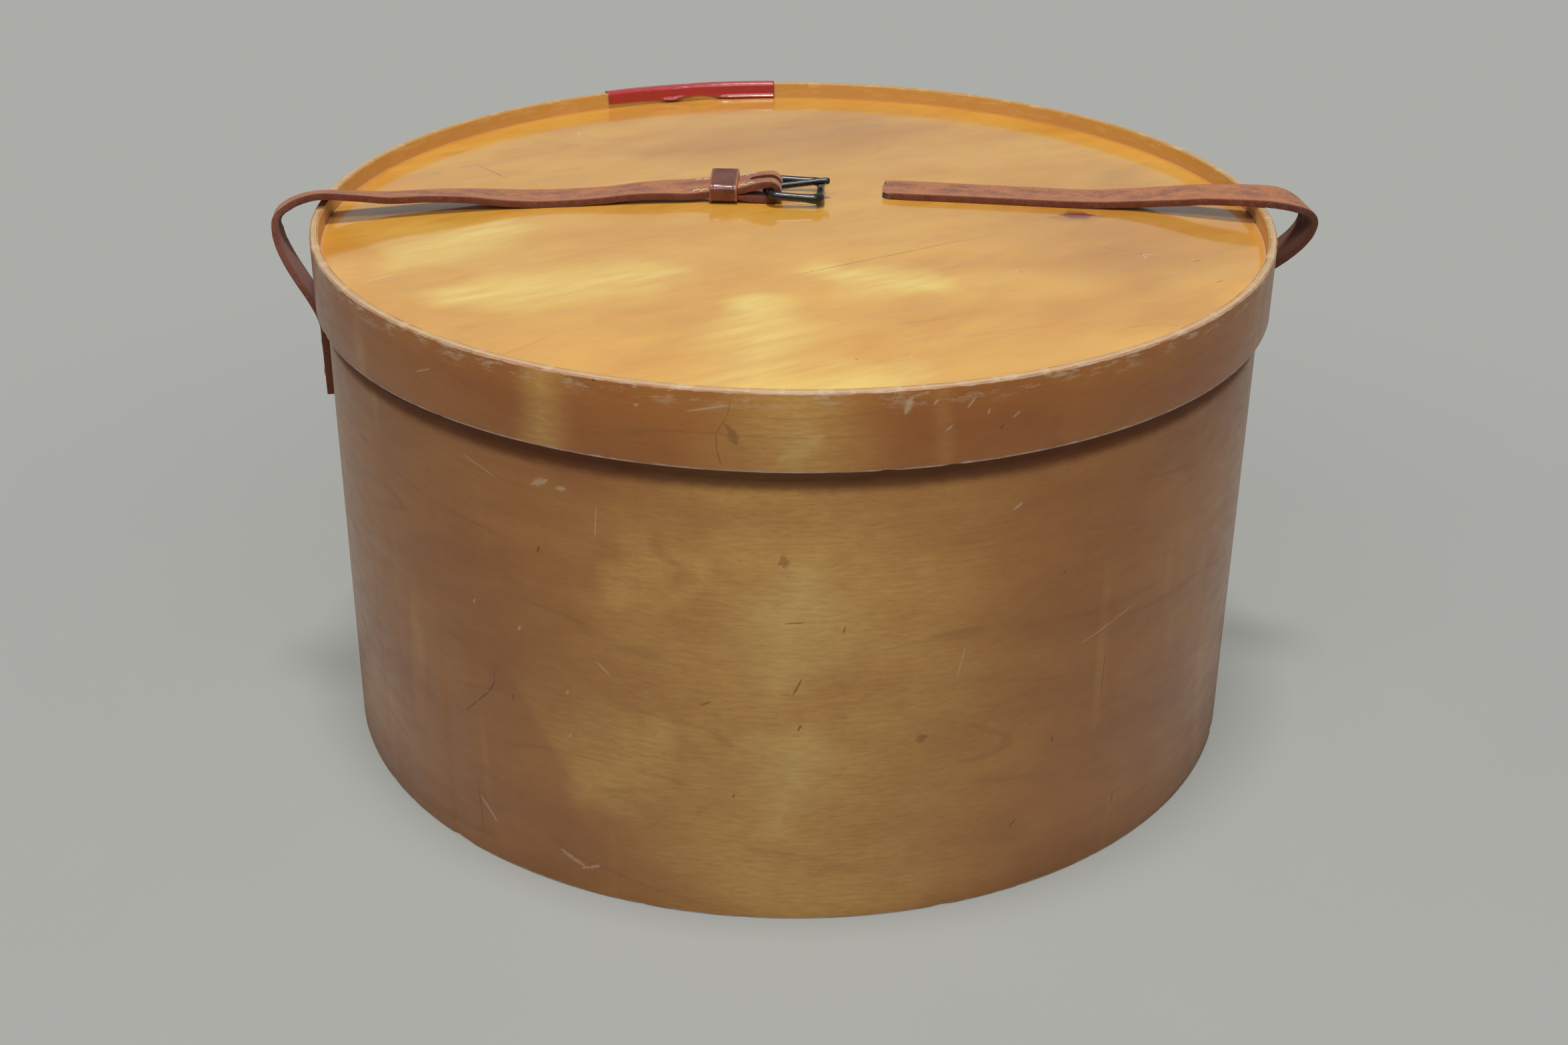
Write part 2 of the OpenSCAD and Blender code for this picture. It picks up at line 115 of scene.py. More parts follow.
# %% Node helper
class Sheet:
    """Short ways to add nodes to one shader tree. ends are the sockets where the tree's results go."""

    def __init__(self, tree, ends=None):
        self.tree, self.ends = tree, ends

    def feed(self, socket, value):
        """Links a node's output to a socket, or sets the socket to a plain value."""
        if isinstance(value, bpy.types.NodeSocket):
            self.tree.links.new(value, socket)
        else:
            socket.default_value = value

    def put_out(self, **results):
        """Feeds the tree's ends by name."""
        for key, value in results.items():
            self.feed(self.ends[key.replace("_", " ")], value)

    def node(self, kind, inputs=None, **settings):
        made = self.tree.nodes.new("ShaderNode" + kind)
        for key, value in settings.items():
            setattr(made, key, value)
        for key, value in (inputs or {}).items():
            self.feed(made.inputs[key], value)
        return made

    def use(self, group, **inputs):
        """Places a node group and gives its outputs."""
        made = self.node("Group", node_tree=group)
        for key, value in inputs.items():
            self.feed(made.inputs[key.replace("_", " ")], value)
        return made.outputs

    def place(self):
        """The point on the surface, in the box's own frame."""
        return self.node("TexCoord").outputs["Object"]

    def math(self, operation, a, b=0.0, c=0.0, clamp=False):
        return self.node("Math", {0: a, 1: b, 2: c}, operation=operation, use_clamp=clamp).outputs[0]

    def times(self, a, b):
        return self.math("MULTIPLY", a, b)

    def plus(self, a, b):
        return self.math("ADD", a, b)

    def minus(self, a, b):
        return self.math("SUBTRACT", a, b)

    def vector(self, operation, a, b=(0.0, 0.0, 0.0)):
        return self.node("VectorMath", {0: a, 1: b}, operation=operation).outputs["Vector"]

    def measure(self, operation, a, b=(0.0, 0.0, 0.0)):
        return self.node("VectorMath", {0: a, 1: b}, operation=operation).outputs["Value"]

    def spin(self, vector, degrees):
        """A vector turned about Z."""
        inputs = {"Vector": vector, "Angle": math.radians(degrees)}
        return self.node("VectorRotate", inputs, rotation_type="Z_AXIS").outputs[0]

    def noise(self, vector, stretch=(1.0, 1.0, 1.0), detail=2.0, roughness=0.5):
        place = self.vector("MULTIPLY", vector, stretch)
        inputs = {"Vector": place, "Scale": 1.0, "Detail": detail, "Roughness": roughness}
        return self.node("TexNoise", inputs).outputs["Fac"]

    def sway(self, vector, stretch, detail=3.0, roughness=0.6):
        """Noise about zero, from about -0.5 to 0.5."""
        return self.minus(self.noise(vector, stretch, detail, roughness), 0.5)

    def step(self, value, low, high, from_value=0.0, to_value=1.0):
        inputs = {"Value": value, "From Min": low, "From Max": high, "To Min": from_value, "To Max": to_value}
        return self.node("MapRange", inputs, interpolation_type="SMOOTHSTEP").outputs["Result"]

    def mix(self, share, a, b):
        return self.node("Mix", {0: share, 6: a, 7: b}, data_type="RGBA").outputs[2]

    def tint(self, colour, tone, mask, share):
        """A colour drawn towards a tone by a share of a mask."""
        return self.mix(self.times(mask, share), colour, tone)

    def split(self, vector):
        return self.node("SeparateXYZ", {0: vector}).outputs

    def join(self, x, y):
        return self.node("CombineXYZ", {0: x, 1: y}).outputs[0]

    def bump(self, height, strength, distance):
        inputs = {"Height": height, "Strength": strength, "Distance": distance}
        return self.node("Bump", inputs).outputs["Normal"]


print("node helper ready")

# %% Colours, groups and finishes
def shade(red, green, blue):
    """A colour from its 0 to 255 display values."""
    def linear(value):
        value /= 255
        return value / 12.92 if value <= 0.04045 else ((value + 0.055) / 1.055) ** 2.4
    return (linear(red), linear(green), linear(blue), 1.0)


def new_group(name, inputs, outputs):
    """An empty node group, its sheet and its inputs. A socket is (name, type) or (name, type, start value)."""
    group = bpy.data.node_groups.new(name, "ShaderNodeTree")
    for label, kind, *start in inputs:
        socket = group.interface.new_socket(label, in_out="INPUT", socket_type="NodeSocket" + kind)
        if start:
            socket.default_value = start[0]
    for label, kind in outputs:
        group.interface.new_socket(label, in_out="OUTPUT", socket_type="NodeSocket" + kind)
    entry = group.nodes.new("NodeGroupInput")
    result = group.nodes.new("NodeGroupOutput")
    return group, Sheet(group, result.inputs), entry.outputs


def new_finish(name, **constants):
    """A material and the sheet of its shader. What is the same all over is set on the shader itself."""
    material = bpy.data.materials.new(name)
    material.use_nodes = True
    sheet = Sheet(material.node_tree, material.node_tree.nodes["Principled BSDF"].inputs)
    sheet.put_out(**constants)
    return material, sheet


print("groups and finishes ready")

# %% [markdown]
# ## Floor and light
# The light in the photograph comes from nearly straight above: the strap's shadow lies right under it, and
# the floor is bright close up to the wall. A second, weaker lamp high in front lights the wall, and lets
# the rim throw its dark band on it, which a painted shadow in the wall's colour deepens. The rest is what
# the pale floor sends back. Far from the box the floor would sink into grey, so for the camera it passes
# into one plain tone there, and the world has the same tone for rays that see or mirror it.

# %% Floor
STUDIO_GREY = shade(172, 173, 168)
FLOOR_SIZE = 12.0
FADE_FROM, FADE_TO, FADE_LEAST = 0.25, 0.75, 0.55

bpy.ops.mesh.primitive_plane_add(size=FLOOR_SIZE)
floor = bpy.context.object
floor.name = "floor"
floor_finish, sheet = new_finish("floor_paint", Roughness=0.6)
position = sheet.place()
mottle = sheet.noise(position, (9.0, 9.0, 9.0), 4.0)
sheet.put_out(Base_Color=sheet.mix(mottle, shade(174, 175, 170), shade(182, 183, 178)))
far = sheet.step(sheet.measure("LENGTH", position), FADE_FROM, FADE_TO, FADE_LEAST, 1.0)
far = sheet.times(far, sheet.node("LightPath").outputs["Is Camera Ray"])
plain = sheet.node("Emission", {"Color": STUDIO_GREY}).outputs[0]
painted = floor_finish.node_tree.nodes["Principled BSDF"].outputs[0]
both = sheet.node("MixShader", {0: far, 1: painted, 2: plain}).outputs[0]
sheet.feed(floor_finish.node_tree.nodes["Material Output"].inputs["Surface"], both)
floor.data.materials.append(floor_finish)
print("a floor of", FLOOR_SIZE, "m")

# %% Lamps and world
def add_lamp(name, place, aim, size, watts):
    lamp = bpy.data.objects.new(name, bpy.data.lights.new(name, "AREA"))
    lamp.data.shape = "RECTANGLE"
    lamp.data.size, lamp.data.size_y = size
    lamp.data.energy = watts
    lamp.location = place
    lamp.rotation_euler = (Vector(aim) - Vector(place)).to_track_quat("-Z", "Y").to_euler()
    bpy.context.collection.objects.link(lamp)


add_lamp("overhead", (-0.1, -0.25, 4.6), (0.0, 0.0, 0.2), (0.8, 0.6), 120.0)
add_lamp("front", (-0.15, -0.95, 1.40), (0.0, -0.1, 0.2), (1.5, 0.35), 9.0)

world = bpy.data.worlds.new("studio")
bpy.context.scene.world = world
world.use_nodes = True
world.node_tree.nodes.clear()
sheet = Sheet(world.node_tree)
rays = sheet.node("LightPath").outputs
seen = sheet.math("MAXIMUM", rays["Is Glossy Ray"], rays["Is Transmission Ray"])
seen = sheet.math("MAXIMUM", rays["Is Camera Ray"], seen)
ambient = sheet.node("Background", {"Color": (0.04, 0.04, 0.041, 1.0)}).outputs[0]
backdrop = sheet.node("Background", {"Color": STUDIO_GREY}).outputs[0]
both = sheet.node("MixShader", {0: seen, 1: ambient, 2: backdrop}).outputs[0]
sheet.node("OutputWorld", {"Surface": both})
bpy.context.scene.view_settings.view_transform = "Standard"
print("two lamps and a plain world")

# %% [markdown]
# ## Wood grain
# The hoops and the panel are the same varnished plywood, so they share one group of nodes. Its vector runs
# along the grain in X and across it in Y. Birch and beech have little figure: soft clouds, where the fibres
# lean towards the light or away, fine striations, short dark flecks, and here and there a faint vein. The
# vein is a contour line of a slow noise, which is what a knife leaves when it peels a log.

# %% Wood grain group
wood_grain, sheet, given = new_group(
    "wood_grain",
    [("Vector", "Vector"), ("Pale", "Color"), ("Deep", "Color"), ("Vein", "Color"),
     ("Vein Share", "Float", 0.4), ("Fleck Share", "Float", 0.5)],
    [("Color", "Color"), ("Height", "Float"), ("Gloss", "Float")])
lay = given["Vector"]
cloud = sheet.noise(lay, (11.0, 24.0, 20.0), 4.0, 0.6)
streak = sheet.noise(lay, (45.0, 700.0, 60.0), 3.0, 0.6)
tone = sheet.plus(sheet.times(cloud, 0.82), sheet.times(streak, 0.18))
colour = sheet.mix(sheet.step(tone, 0.28, 0.72), given["Pale"], given["Deep"])
slow = sheet.noise(lay, (3.0, 17.0, 5.0), 2.5, 0.4)
contour = sheet.math("PINGPONG", sheet.times(slow, 9.0), 0.5)
broken = sheet.step(sheet.noise(lay, (14.0, 40.0, 5.0), 2.0), 0.42, 0.66)
vein = sheet.times(sheet.step(contour, 0.10, 0.0), broken)
colour = sheet.tint(colour, given["Vein"], vein, given["Vein Share"])
fleck = sheet.step(sheet.noise(lay, (210.0, 2300.0, 300.0), 2.0), 0.57, 0.75)
fleck = sheet.times(fleck, given["Fleck Share"])
colour = sheet.mix(fleck, colour, given["Vein"])
sheet.put_out(Color=colour, Height=sheet.minus(streak, sheet.times(fleck, 0.8)),
              Gloss=sheet.noise(lay, (60.0, 160.0, 60.0), 3.0))
print("wood_grain:", len(wood_grain.nodes), "nodes")

# %% [markdown]
# ## Marks
# Years of handling left scratches, nicks and stains at places listed one by one. A stroke is the
# distance from a point on the surface to a short line, so one small group draws a thin scratch, a long
# hairline or, with a large width, a soft blot. Noise frays its edge.

# %% Stroke group
stroke, sheet, given = new_group(
    "stroke",
    [("Vector", "Vector"), ("From", "Vector"), ("To", "Vector"), ("Ragged", "Float", 0.0),
     ("Width", "Float", 0.0005), ("Fray", "Float", 0.0005), ("Core", "Float", 0.4)],
    [("Mask", "Float")])
reach = sheet.vector("SUBTRACT", given["Vector"], given["From"])
length = sheet.vector("SUBTRACT", given["To"], given["From"])
along = sheet.measure("DOT_PRODUCT", reach, length)
share = sheet.math("DIVIDE", along, sheet.measure("DOT_PRODUCT", length, length), clamp=True)
scaled = sheet.node("VectorMath", {0: length, "Scale": share}, operation="SCALE").outputs["Vector"]
away = sheet.measure("DISTANCE", reach, scaled)
away = sheet.math("MULTIPLY_ADD", given["Ragged"], given["Fray"], away)
ends = sheet.math("ABSOLUTE", sheet.minus(share, 0.5))
width = sheet.times(given["Width"], sheet.step(ends, 0.5, 0.2, 0.35, 1.0))
sheet.put_out(Mask=sheet.step(sheet.math("DIVIDE", away, width), 1.0, given["Core"]))
print("stroke:", len(stroke.nodes), "nodes")

# %% Drawing strokes
def rag(sheet, vector):
    """The fine noise that frays scratches."""
    return sheet.sway(vector, (700.0, 700.0, 700.0))


def draw_strokes(sheet, vector, ragged, strokes, core):
    """One mask from strokes, each (from, to, width, fray) in metres on the surface."""
    total = None
    for start, stop, width, fray in strokes:
        mask = sheet.use(stroke, Vector=vector, From=(*start, 0.0), To=(*stop, 0.0), Ragged=ragged,
                         Width=width, Fray=fray, Core=core)["Mask"]
        total = mask if total is None else sheet.math("MAXIMUM", total, mask)
    return total


def add_marks(sheet, vector, colour, layers):
    """Draws layers of (strokes, noise, core, share, tone) on a colour. Gives the new colour and the masks."""
    masks = []
    for strokes, ragged, core, share, tone in layers:
        masks.append(draw_strokes(sheet, vector, ragged, strokes, core))
        colour = sheet.tint(colour, tone, masks[-1], share)
    return colour, masks


print("strokes ready")

# %% [markdown]
# ## A map round the hoops
# Grain on a bent hoop runs round it, so its texture needs a place measured round and up, not in X and Y.
# The group below turns a point into that place. Its seam is put at the back, at 80 degrees, where such a
# hoop has its own glued joint. The angles of the marks are written as the eye sees them, with -90 at the
# front.

# %% Hoop map group
HOOP_RADIUS = 222.5 * MM
FRONT = 100.0

hoop_map, sheet, given = new_group(
    "hoop_map", [("Position", "Vector")], [("Place", "Vector"), ("Up", "Float"), ("Radius", "Float")])
x, y, z = sheet.split(sheet.spin(given["Position"], FRONT))
around = sheet.times(sheet.math("ARCTAN2", y, x), HOOP_RADIUS)
sheet.put_out(Place=sheet.join(around, z), Up=z, Radius=sheet.measure("LENGTH", sheet.join(x, y)))


def on_hoop(angle, height):
    """The place of a mark, from its angle in degrees and its height in mm."""
    return (math.radians(angle + FRONT) * HOOP_RADIUS, height * MM)


def marks_on_hoop(rows):
    """Strokes from (angle, height, angle, height, width in mm, fray in mm)."""
    return [(on_hoop(a, b), on_hoop(c, d), width * MM, fray * MM) for a, b, c, d, width, fray in rows]


print("one degree round the hoop is", round(math.radians(1) * HOOP_RADIUS / MM, 2), "mm")

# %% [markdown]
# ## Cut edges of plywood
# Where a hoop ends, the plies show: pale layers with a darker one between them and under the varnish,
# greyed by hands. The group colours a cut edge by the depth from the outer face.

# %% Ply edge group
PLY_THICK = 0.004
PLIES = ((0.0, (216, 196, 182)), (0.10, (186, 122, 66)), (0.26, (222, 190, 146)), (0.52, (202, 166, 120)),
         (0.72, (214, 178, 132)), (0.88, (150, 96, 54)))

ply_edge, sheet, given = new_group(
    "ply_edge", [("Depth", "Float"), ("Place", "Vector")], [("Color", "Color")])
around = sheet.split(given["Place"])[0]
grime_and_painted_shadow = sheet.noise(sheet.join(around, given["Depth"]), (50.0, 1500.0, 1.0), 4.0, 0.6)
uneven = sheet.math("MULTIPLY_ADD", sheet.minus(grime_and_painted_shadow, 0.5), 0.0012, given["Depth"])
plies = sheet.node("ValToRGB", {0: sheet.math("DIVIDE", uneven, PLY_THICK)})
ramp = plies.color_ramp.elements
ramp[-1].position = PLIES[-1][0]
for depth, _ in PLIES[1:-1]:
    ramp.new(depth)
for ply, (_, tone) in zip(ramp, PLIES):
    ply.color = shade(*tone)
greyed = sheet.step(grime_and_painted_shadow, 0.45, 0.75, 0.0, 0.5)
sheet.put_out(Color=sheet.mix(greyed, plies.outputs[0], shade(140, 100, 70)))
print("ply_edge:", len(ply_edge.nodes), "nodes,", len(ramp), "tones")

# %% [markdown]
# ## Veneer of the hoops
# Wall and rim share a finish, with the grain running round. The veneer is amber. A painted sheen of gold
# lies in broad upright zones, where its fibres face the light, and in random bands. A zone is a very wide
# stroke that slow noise frays, so it has a place of its own and no drawn outline. Paler strokes inside the
# zones are a painted highlight at their middle.

# %% Veneer
PAINTED_SHEEN_GOLD = shade(245, 193, 104)
UMBER = shade(104, 54, 24)
PAINTED_SHEEN_OLIVE = shade(213, 150, 73)
PAINTED_HIGHLIGHT_GOLD = shade(255, 224, 140)


def veneer(sheet, place, amber, brown, strokes):
    """The grain's outputs and the veneer's colour, from two tones and the painted sheen and highlight strokes.
    """
    slow = sheet.sway(place, (9.0, 14.0, 1.0), 3.0, 0.5)
    # Painted sheen: gold in wide zones and random bands, for the fibres' sheen where they face the light.
    zone = draw_strokes(sheet, place, slow, strokes["gold"], -0.2)
    bands = sheet.step(sheet.noise(place, (34.0, 6.0, 1.0), 2.0), 0.58, 0.74, 0.0, 0.35)
    fine = sheet.step(sheet.noise(place, (120.0, 620.0, 1.0), 3.0, 0.6), 0.7, 0.3, 0.62, 0.92)
    gold = sheet.times(sheet.math("MAXIMUM", zone, bands), fine)
    pale_tone, deep_tone = sheet.mix(gold, amber, PAINTED_SHEEN_GOLD), sheet.mix(gold, brown, PAINTED_SHEEN_OLIVE)
    grain = sheet.use(wood_grain, Vector=place, Pale=pale_tone, Deep=sheet.mix(0.15, deep_tone, pale_tone),
                      Vein=UMBER, Vein_Share=0.2, Fleck_Share=0.32)
    # Painted highlight: paler gold strokes at the middle of the sheen zones.
    painted_highlight = draw_strokes(sheet, place, slow, strokes["painted_highlight"], -0.6)
    return grain, sheet.tint(grain["Color"], PAINTED_HIGHLIGHT_GOLD, sheet.times(painted_highlight, fine), 0.62)


print("veneer ready")

# %% [markdown]
# ## Varnish on the hoops
# Over the veneer come the marks, a painted shadow just under the lid's edge, where the rim shades the wall,
# and the worn edges, where the varnish is gone and the plies show. The inside is paler, because it was never
# stained. Varnish is a coat on the shader, and it is left out wherever the wood is bare and in the painted
# shadow.

# %% Hoop finish
CREAM = shade(226, 196, 160)
STAIN = shade(150, 52, 26)
# The painted shadow under the lid's edge: how far down it reaches, its fade, and its fade under the rim.
PAINTED_SHADOW_DEPTH, PAINTED_SHADOW_FADE, PAINTED_SHADOW_HIDDEN = 0.0125, 0.0055, 0.003
SCUFF_FROM, SCUFF_TO = 0.010, 0.0015
INSIDE_FROM, INSIDE_TO = 0.0033, 0.0037


def worn_edges(sheet, lay, low, high):
    """Two masks: where an edge has lost its varnish, and the scuffs below the top edge."""
    place, from_top = lay["Place"], sheet.minus(high, lay["Up"])
    reach = sheet.times(sheet.noise(place, (150.0, 420.0, 1.0), 4.0, 0.65), 0.0022)
    nearest = sheet.math("MINIMUM", sheet.minus(lay["Up"], low), from_top)
    bare = sheet.step(sheet.minus(nearest, reach), 0.0, -0.0006)
    patchy = sheet.step(sheet.noise(place, (70.0, 260.0, 1.0), 5.0, 0.75), 0.50, 0.61)
    return bare, sheet.times(patchy, sheet.step(from_top, SCUFF_FROM, SCUFF_TO))


def hoop_finish(name, low, high, outer, amber, brown, shaded_by, marks):
    """Varnish for a hoop from low to high. shaded_by is the height of the edge whose shadow is painted under
    it.
    """
    material, sheet = new_finish(name, Coat_Roughness=0.22, Coat_IOR=1.45)
    lay = sheet.use(hoop_map, Position=sheet.place())
    place = lay["Place"]
    strokes = {key: marks_on_hoop(rows) for key, rows in marks.items()}
    grain, colour = veneer(sheet, place, amber, brown, strokes)
    ragged, drift = rag(sheet, place), sheet.sway(place, (150.0, 150.0, 1.0))
    colour, (_, dark, _, _) = add_marks(sheet, place, colour, (
        (strokes["blot"], drift, 0.2, 0.45, shade(118, 60, 22)),
        (strokes["dark"], ragged, 0.1, 0.65, shade(62, 32, 18)),
        (strokes["pale"], ragged, 0.1, 0.6, CREAM), (strokes["red"], ragged, 0.0, 0.7, STAIN)))

    # Painted shadow: a dark band in the colour under the lid's edge stands for the rim's shade on the wall.
    level = sheet.math("MULTIPLY_ADD", drift, 0.002, lay["Up"])
    painted_shadow_low = shaded_by - PAINTED_SHADOW_DEPTH
    grime_and_painted_shadow = sheet.times(sheet.step(level, painted_shadow_low, painted_shadow_low + PAINTED_SHADOW_FADE, 0.0, 0.8),
                        sheet.step(level, shaded_by, shaded_by + PAINTED_SHADOW_HIDDEN, 1.0, 0.3))
    colour = sheet.mix(grime_and_painted_shadow, colour, shade(100, 48, 22))

    depth = sheet.minus(outer, lay["Radius"])
    bare, scuffed = worn_edges(sheet, lay, low, high)
    colour = sheet.mix(bare, colour, sheet.use(ply_edge, Depth=depth, Place=place)["Color"])
    colour = sheet.tint(colour, CREAM, scuffed, 0.6)
    inside = sheet.step(depth, INSIDE_FROM, INSIDE_TO)
    colour = sheet.tint(colour, shade(246, 194, 104), inside, 0.6)

    rough = sheet.step(grain["Gloss"], 0.2, 0.8, 0.34, 0.52)
    uncoated = sheet.math("MAXIMUM", sheet.math("MAXIMUM", bare, inside), grime_and_painted_shadow)
    height = sheet.minus(sheet.times(grain["Height"], 0.5), sheet.plus(dark, bare))
    sheet.put_out(Base_Color=colour, Roughness=sheet.math("MULTIPLY_ADD", grime_and_painted_shadow, 0.5, rough),
                  Coat_Weight=sheet.times(sheet.minus(1.0, uncoated), 0.45),
                  Normal=sheet.bump(height, 0.3, 0.0003))
    return material


wall_low, wall_high = (corner.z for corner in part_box("body_wall"))
rim_low, rim_high = (corner.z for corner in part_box("lid_rim"))
WALL_R, WALL_IN, RIM_R, RIM_IN = 220.5, 216.5, 225.0, 221.0
print("wall up to", round(wall_high / MM, 1), "mm, rim from", round(rim_low / MM, 1), "mm")

# %% Marks on the wall
wall_marks = {
    # The first two groups are painted sheen and a painted highlight; the rest are real marks.
    "gold": (
        (-97.5, -60, -97.5, 260, 140, 110), (-116, 160, -107, 172, 55, 60), (-122, 50, -112, 90, 70, 80)),
    "painted_highlight": ((-99.5, 112, -96.5, 170, 42, 60), (-99, 50, -96, 100, 36, 50)),
    "dark": (
        (-138, 73, -135.9, 81, 0.5, 0.4), (-135.9, 81, -134.1, 88, 0.6, 0.4),
        (-134.1, 88, -133, 95, 0.6, 0.4), (-133, 95, -133.2, 100, 0.5, 0.3),
        (-126, 165, -125.8, 168, 0.9, 0.8), (-130.5, 88, -130.4, 92, 0.6, 0.4),
        (-97.6, 113, -96.6, 121, 0.7, 0.7), (-97, 96, -96.6, 99, 0.7, 0.6),
        (-98.4, 147, -96.4, 147.4, 0.5, 0.4), (-67, 72, -66.8, 75, 0.7, 0.6),
        (-60, 85, -59.8, 110, 0.35, 0.3), (-56.5, 25, -56.4, 31, 0.6, 0.4),
        (-72, 34, -71.2, 37, 0.6, 0.4), (-137, 45, -136.4, 10, 0.3, 0.3)),
    "blot": ((-99, 174.5, -98.2, 175, 4.0, 6.0), (-84, 88, -83, 89, 3.4, 5.0)),
    "pale": (
        (-126.2, 196, -124.4, 199, 2.4, 2.6), (-123.2, 196.5, -122.2, 197, 1.6, 1.6),
        (-74, 190, -73, 192, 1.2, 1.5), (-135.6, 130, -135.3, 132, 0.9, 1.2),
        (-129.2, 125, -128.8, 127, 0.9, 1.0), (-123.2, 100, -122.9, 102, 0.9, 1.0),
        (-123, 79, -122.8, 81, 0.9, 1.0), (-64, 117, -55, 127, 0.4, 0.5),
        (-79.6, 115, -78.8, 130, 0.4, 0.5), (-125, 19, -121.5, 13, 1.4, 3.0),
        (-136.5, 30, -134, 20, 1.1, 3.0), (-122, 12, -119.6, 16, 1.0, 3.0),
        (-136, 200, -131, 194, 0.4, 0.5), (-119.3, 120, -117.6, 114, 0.6, 0.5),
        (-118.9, 176, -118.6, 192, 0.4, 0.7)),
    "red": (
        (-107.6, 106, -106.4, 108.5, 0.8, 0.8), (-104, 62, -103.8, 64, 0.8, 0.8),
        (-67, 154, -66.8, 156, 0.8, 0.8), (-92.3, 142, -92.1, 145, 0.7, 0.6), (-50, 1, -36, 2, 1.6, 2.4))}
wall_finish = hoop_finish("wall_varnish", wall_low, wall_high, WALL_R * MM,
                          shade(196, 130, 61), shade(166, 100, 42), rim_low, wall_marks)
print("marks on the wall:", sum(len(rows) for rows in wall_marks.values()))

# %% Marks on the rim
ABOVE_RIM = 0.0225
rim_marks = {
    # The first two groups are painted sheen and a painted highlight; the rest are real marks.
    "gold": ((-97.5, 160, -97.5, 300, 48, 40), (-124, 160, -124, 300, 16, 20)),
    "painted_highlight": ((-99, 222, -95, 232, 9, 16),),
    "dark": ((-118, 248.6, -117.7, 248.9, 0.8, 0.5),),
    "blot": (
        (-103.9, 246, -104.3, 239, 0.45, 0.4), (-104.3, 239, -105.4, 232, 0.5, 0.4),
        (-105.4, 232, -105.3, 225, 0.6, 0.4), (-105.3, 225, -104.9, 219, 0.55, 0.4),
        (-104, 233, -103.4, 228.5, 3.2, 2.4), (-104.5, 236, -103.2, 231, 1.6, 1.6)),
    "pale": (
        (-108.2, 240.5, -104.2, 244, 0.7, 0.5), (-86.8, 240, -86.2, 246.5, 2.2, 2.2),
        (-83.9, 243, -83.5, 244.5, 1.0, 1.2), (-80.4, 240, -79.6, 244, 0.7, 0.8),
        (-82.6, 231, -81.8, 233.5, 0.6, 0.6), (-78.2, 236, -78, 238.5, 0.7, 0.8),
        (-75.4, 233, -74.6, 235.5, 0.6, 0.6), (-113.6, 240.6, -113.2, 241.2, 0.9, 0.8),
        (-141, 232, -138.5, 236, 0.5, 0.5)),
    "red": ((-76.8, 229, -76.3, 231, 0.9, 1.0),)}
# The rim's painted shadow is set above its top, so the rim gets none.
rim_finish = hoop_finish("rim_varnish", rim_low, rim_high, RIM_R * MM,
                         shade(196, 122, 44), shade(170, 96, 33), rim_high + ABOVE_RIM, rim_marks)
print("marks on the rim:", sum(len(rows) for rows in rim_marks.values()))

# %% [markdown]
# ## Bent hoops
# A hoop is an outline turned about the axis. Three things keep it from looking machined: the arrises are
# rounded by a different amount on each edge, chips bite into the rims, and the hoop isn't quite true. So
# the outline is turned in code, and each ring of points is moved by seeded noise that closes on itself.

# %% Turning
def round_outline(corners, steps=5):
    """Rounds the corners (radius, height, rounding) of a closed outline, all in mm."""
    outline = []
    count = len(corners)
    for index, (r, z, size) in enumerate(corners):
        corner = np.array((r, z))
        before = np.array(corners[index - 1][:2]) - corner
        after = np.array(corners[(index + 1) % count][:2]) - corner
        before, after = (side / np.linalg.norm(side) * size for side in (before, after))
        for share in np.linspace(0, math.pi / 2, steps):
            outline.append(corner + before * (1 - math.sin(share)) + after * (1 - math.cos(share)))
    return np.array(outline)


def closed_noise(seed, count, spread):
    """Smooth random values round a ring, about -1 to 1, with bumps of about that many steps."""
    values = np.random.default_rng(seed).normal(size=count)
    waves = np.fft.rfft(values) * np.exp(-(np.arange(count // 2 + 1) * spread / count) ** 2 * 4)
    smooth = np.fft.irfft(waves, count)
    return smooth / np.abs(smooth).max()


def add_mesh(name, points, faces, material, smooth=True):
    """A mesh object from points in mm."""
    mesh = bpy.data.meshes.new(name)
    mesh.from_pydata([tuple(point) for point in np.asarray(points, float) * MM], [], faces)
    mesh.materials.append(material)
    mesh.polygons.foreach_set("use_smooth", [smooth] * len(mesh.polygons))
    mesh.validate()
    made = bpy.data.objects.new(name, mesh)
    bpy.context.collection.objects.link(made)
    return made


def grid_faces(rings, size, ends_meet=True, ring_closed=True):
    """Faces between rings of size points. The last ring may meet the first, and each ring its own start."""
    faces = []
    for i in range(rings if ends_meet else rings - 1):
        here, there = i * size, (i + 1) % rings * size
        for k in range(size if ring_closed else size - 1):
            nxt = (k + 1) % size
            faces.append((here + k, there + k, there + nxt, here + nxt))
    return faces


def turn(name, outline, segments, material, wear):
    """Turns a closed outline about Z. wear(radius, height, ring) gives the shift in radius and height."""
    points = []
    for ring in range(segments):
        angle = 2 * math.pi * ring / segments
        for r, z in outline:
            shift_r, shift_z = wear(r, z, ring)
            points.append(((r + shift_r) * math.cos(angle), (r + shift_r) * math.sin(angle), z + shift_z))
    return add_mesh(name, points, grid_faces(segments, len(outline)), material)


print("turning ready")

# %% Wall and rim
SEGMENTS = 900
CHIP_ZONE, TOP_ZONE, LIP_ZONE = 1.2, 1.5, 1.0


def chips(seed):
    """Where an edge is chipped: mostly 0, up to 1 in a few short bites."""
    fine = closed_noise(seed, SEGMENTS, 4.0) + 0.6 * closed_noise(seed + 1, SEGMENTS, 14.0)
    return np.clip(fine * 2.2 - 1.3, 0, 1)


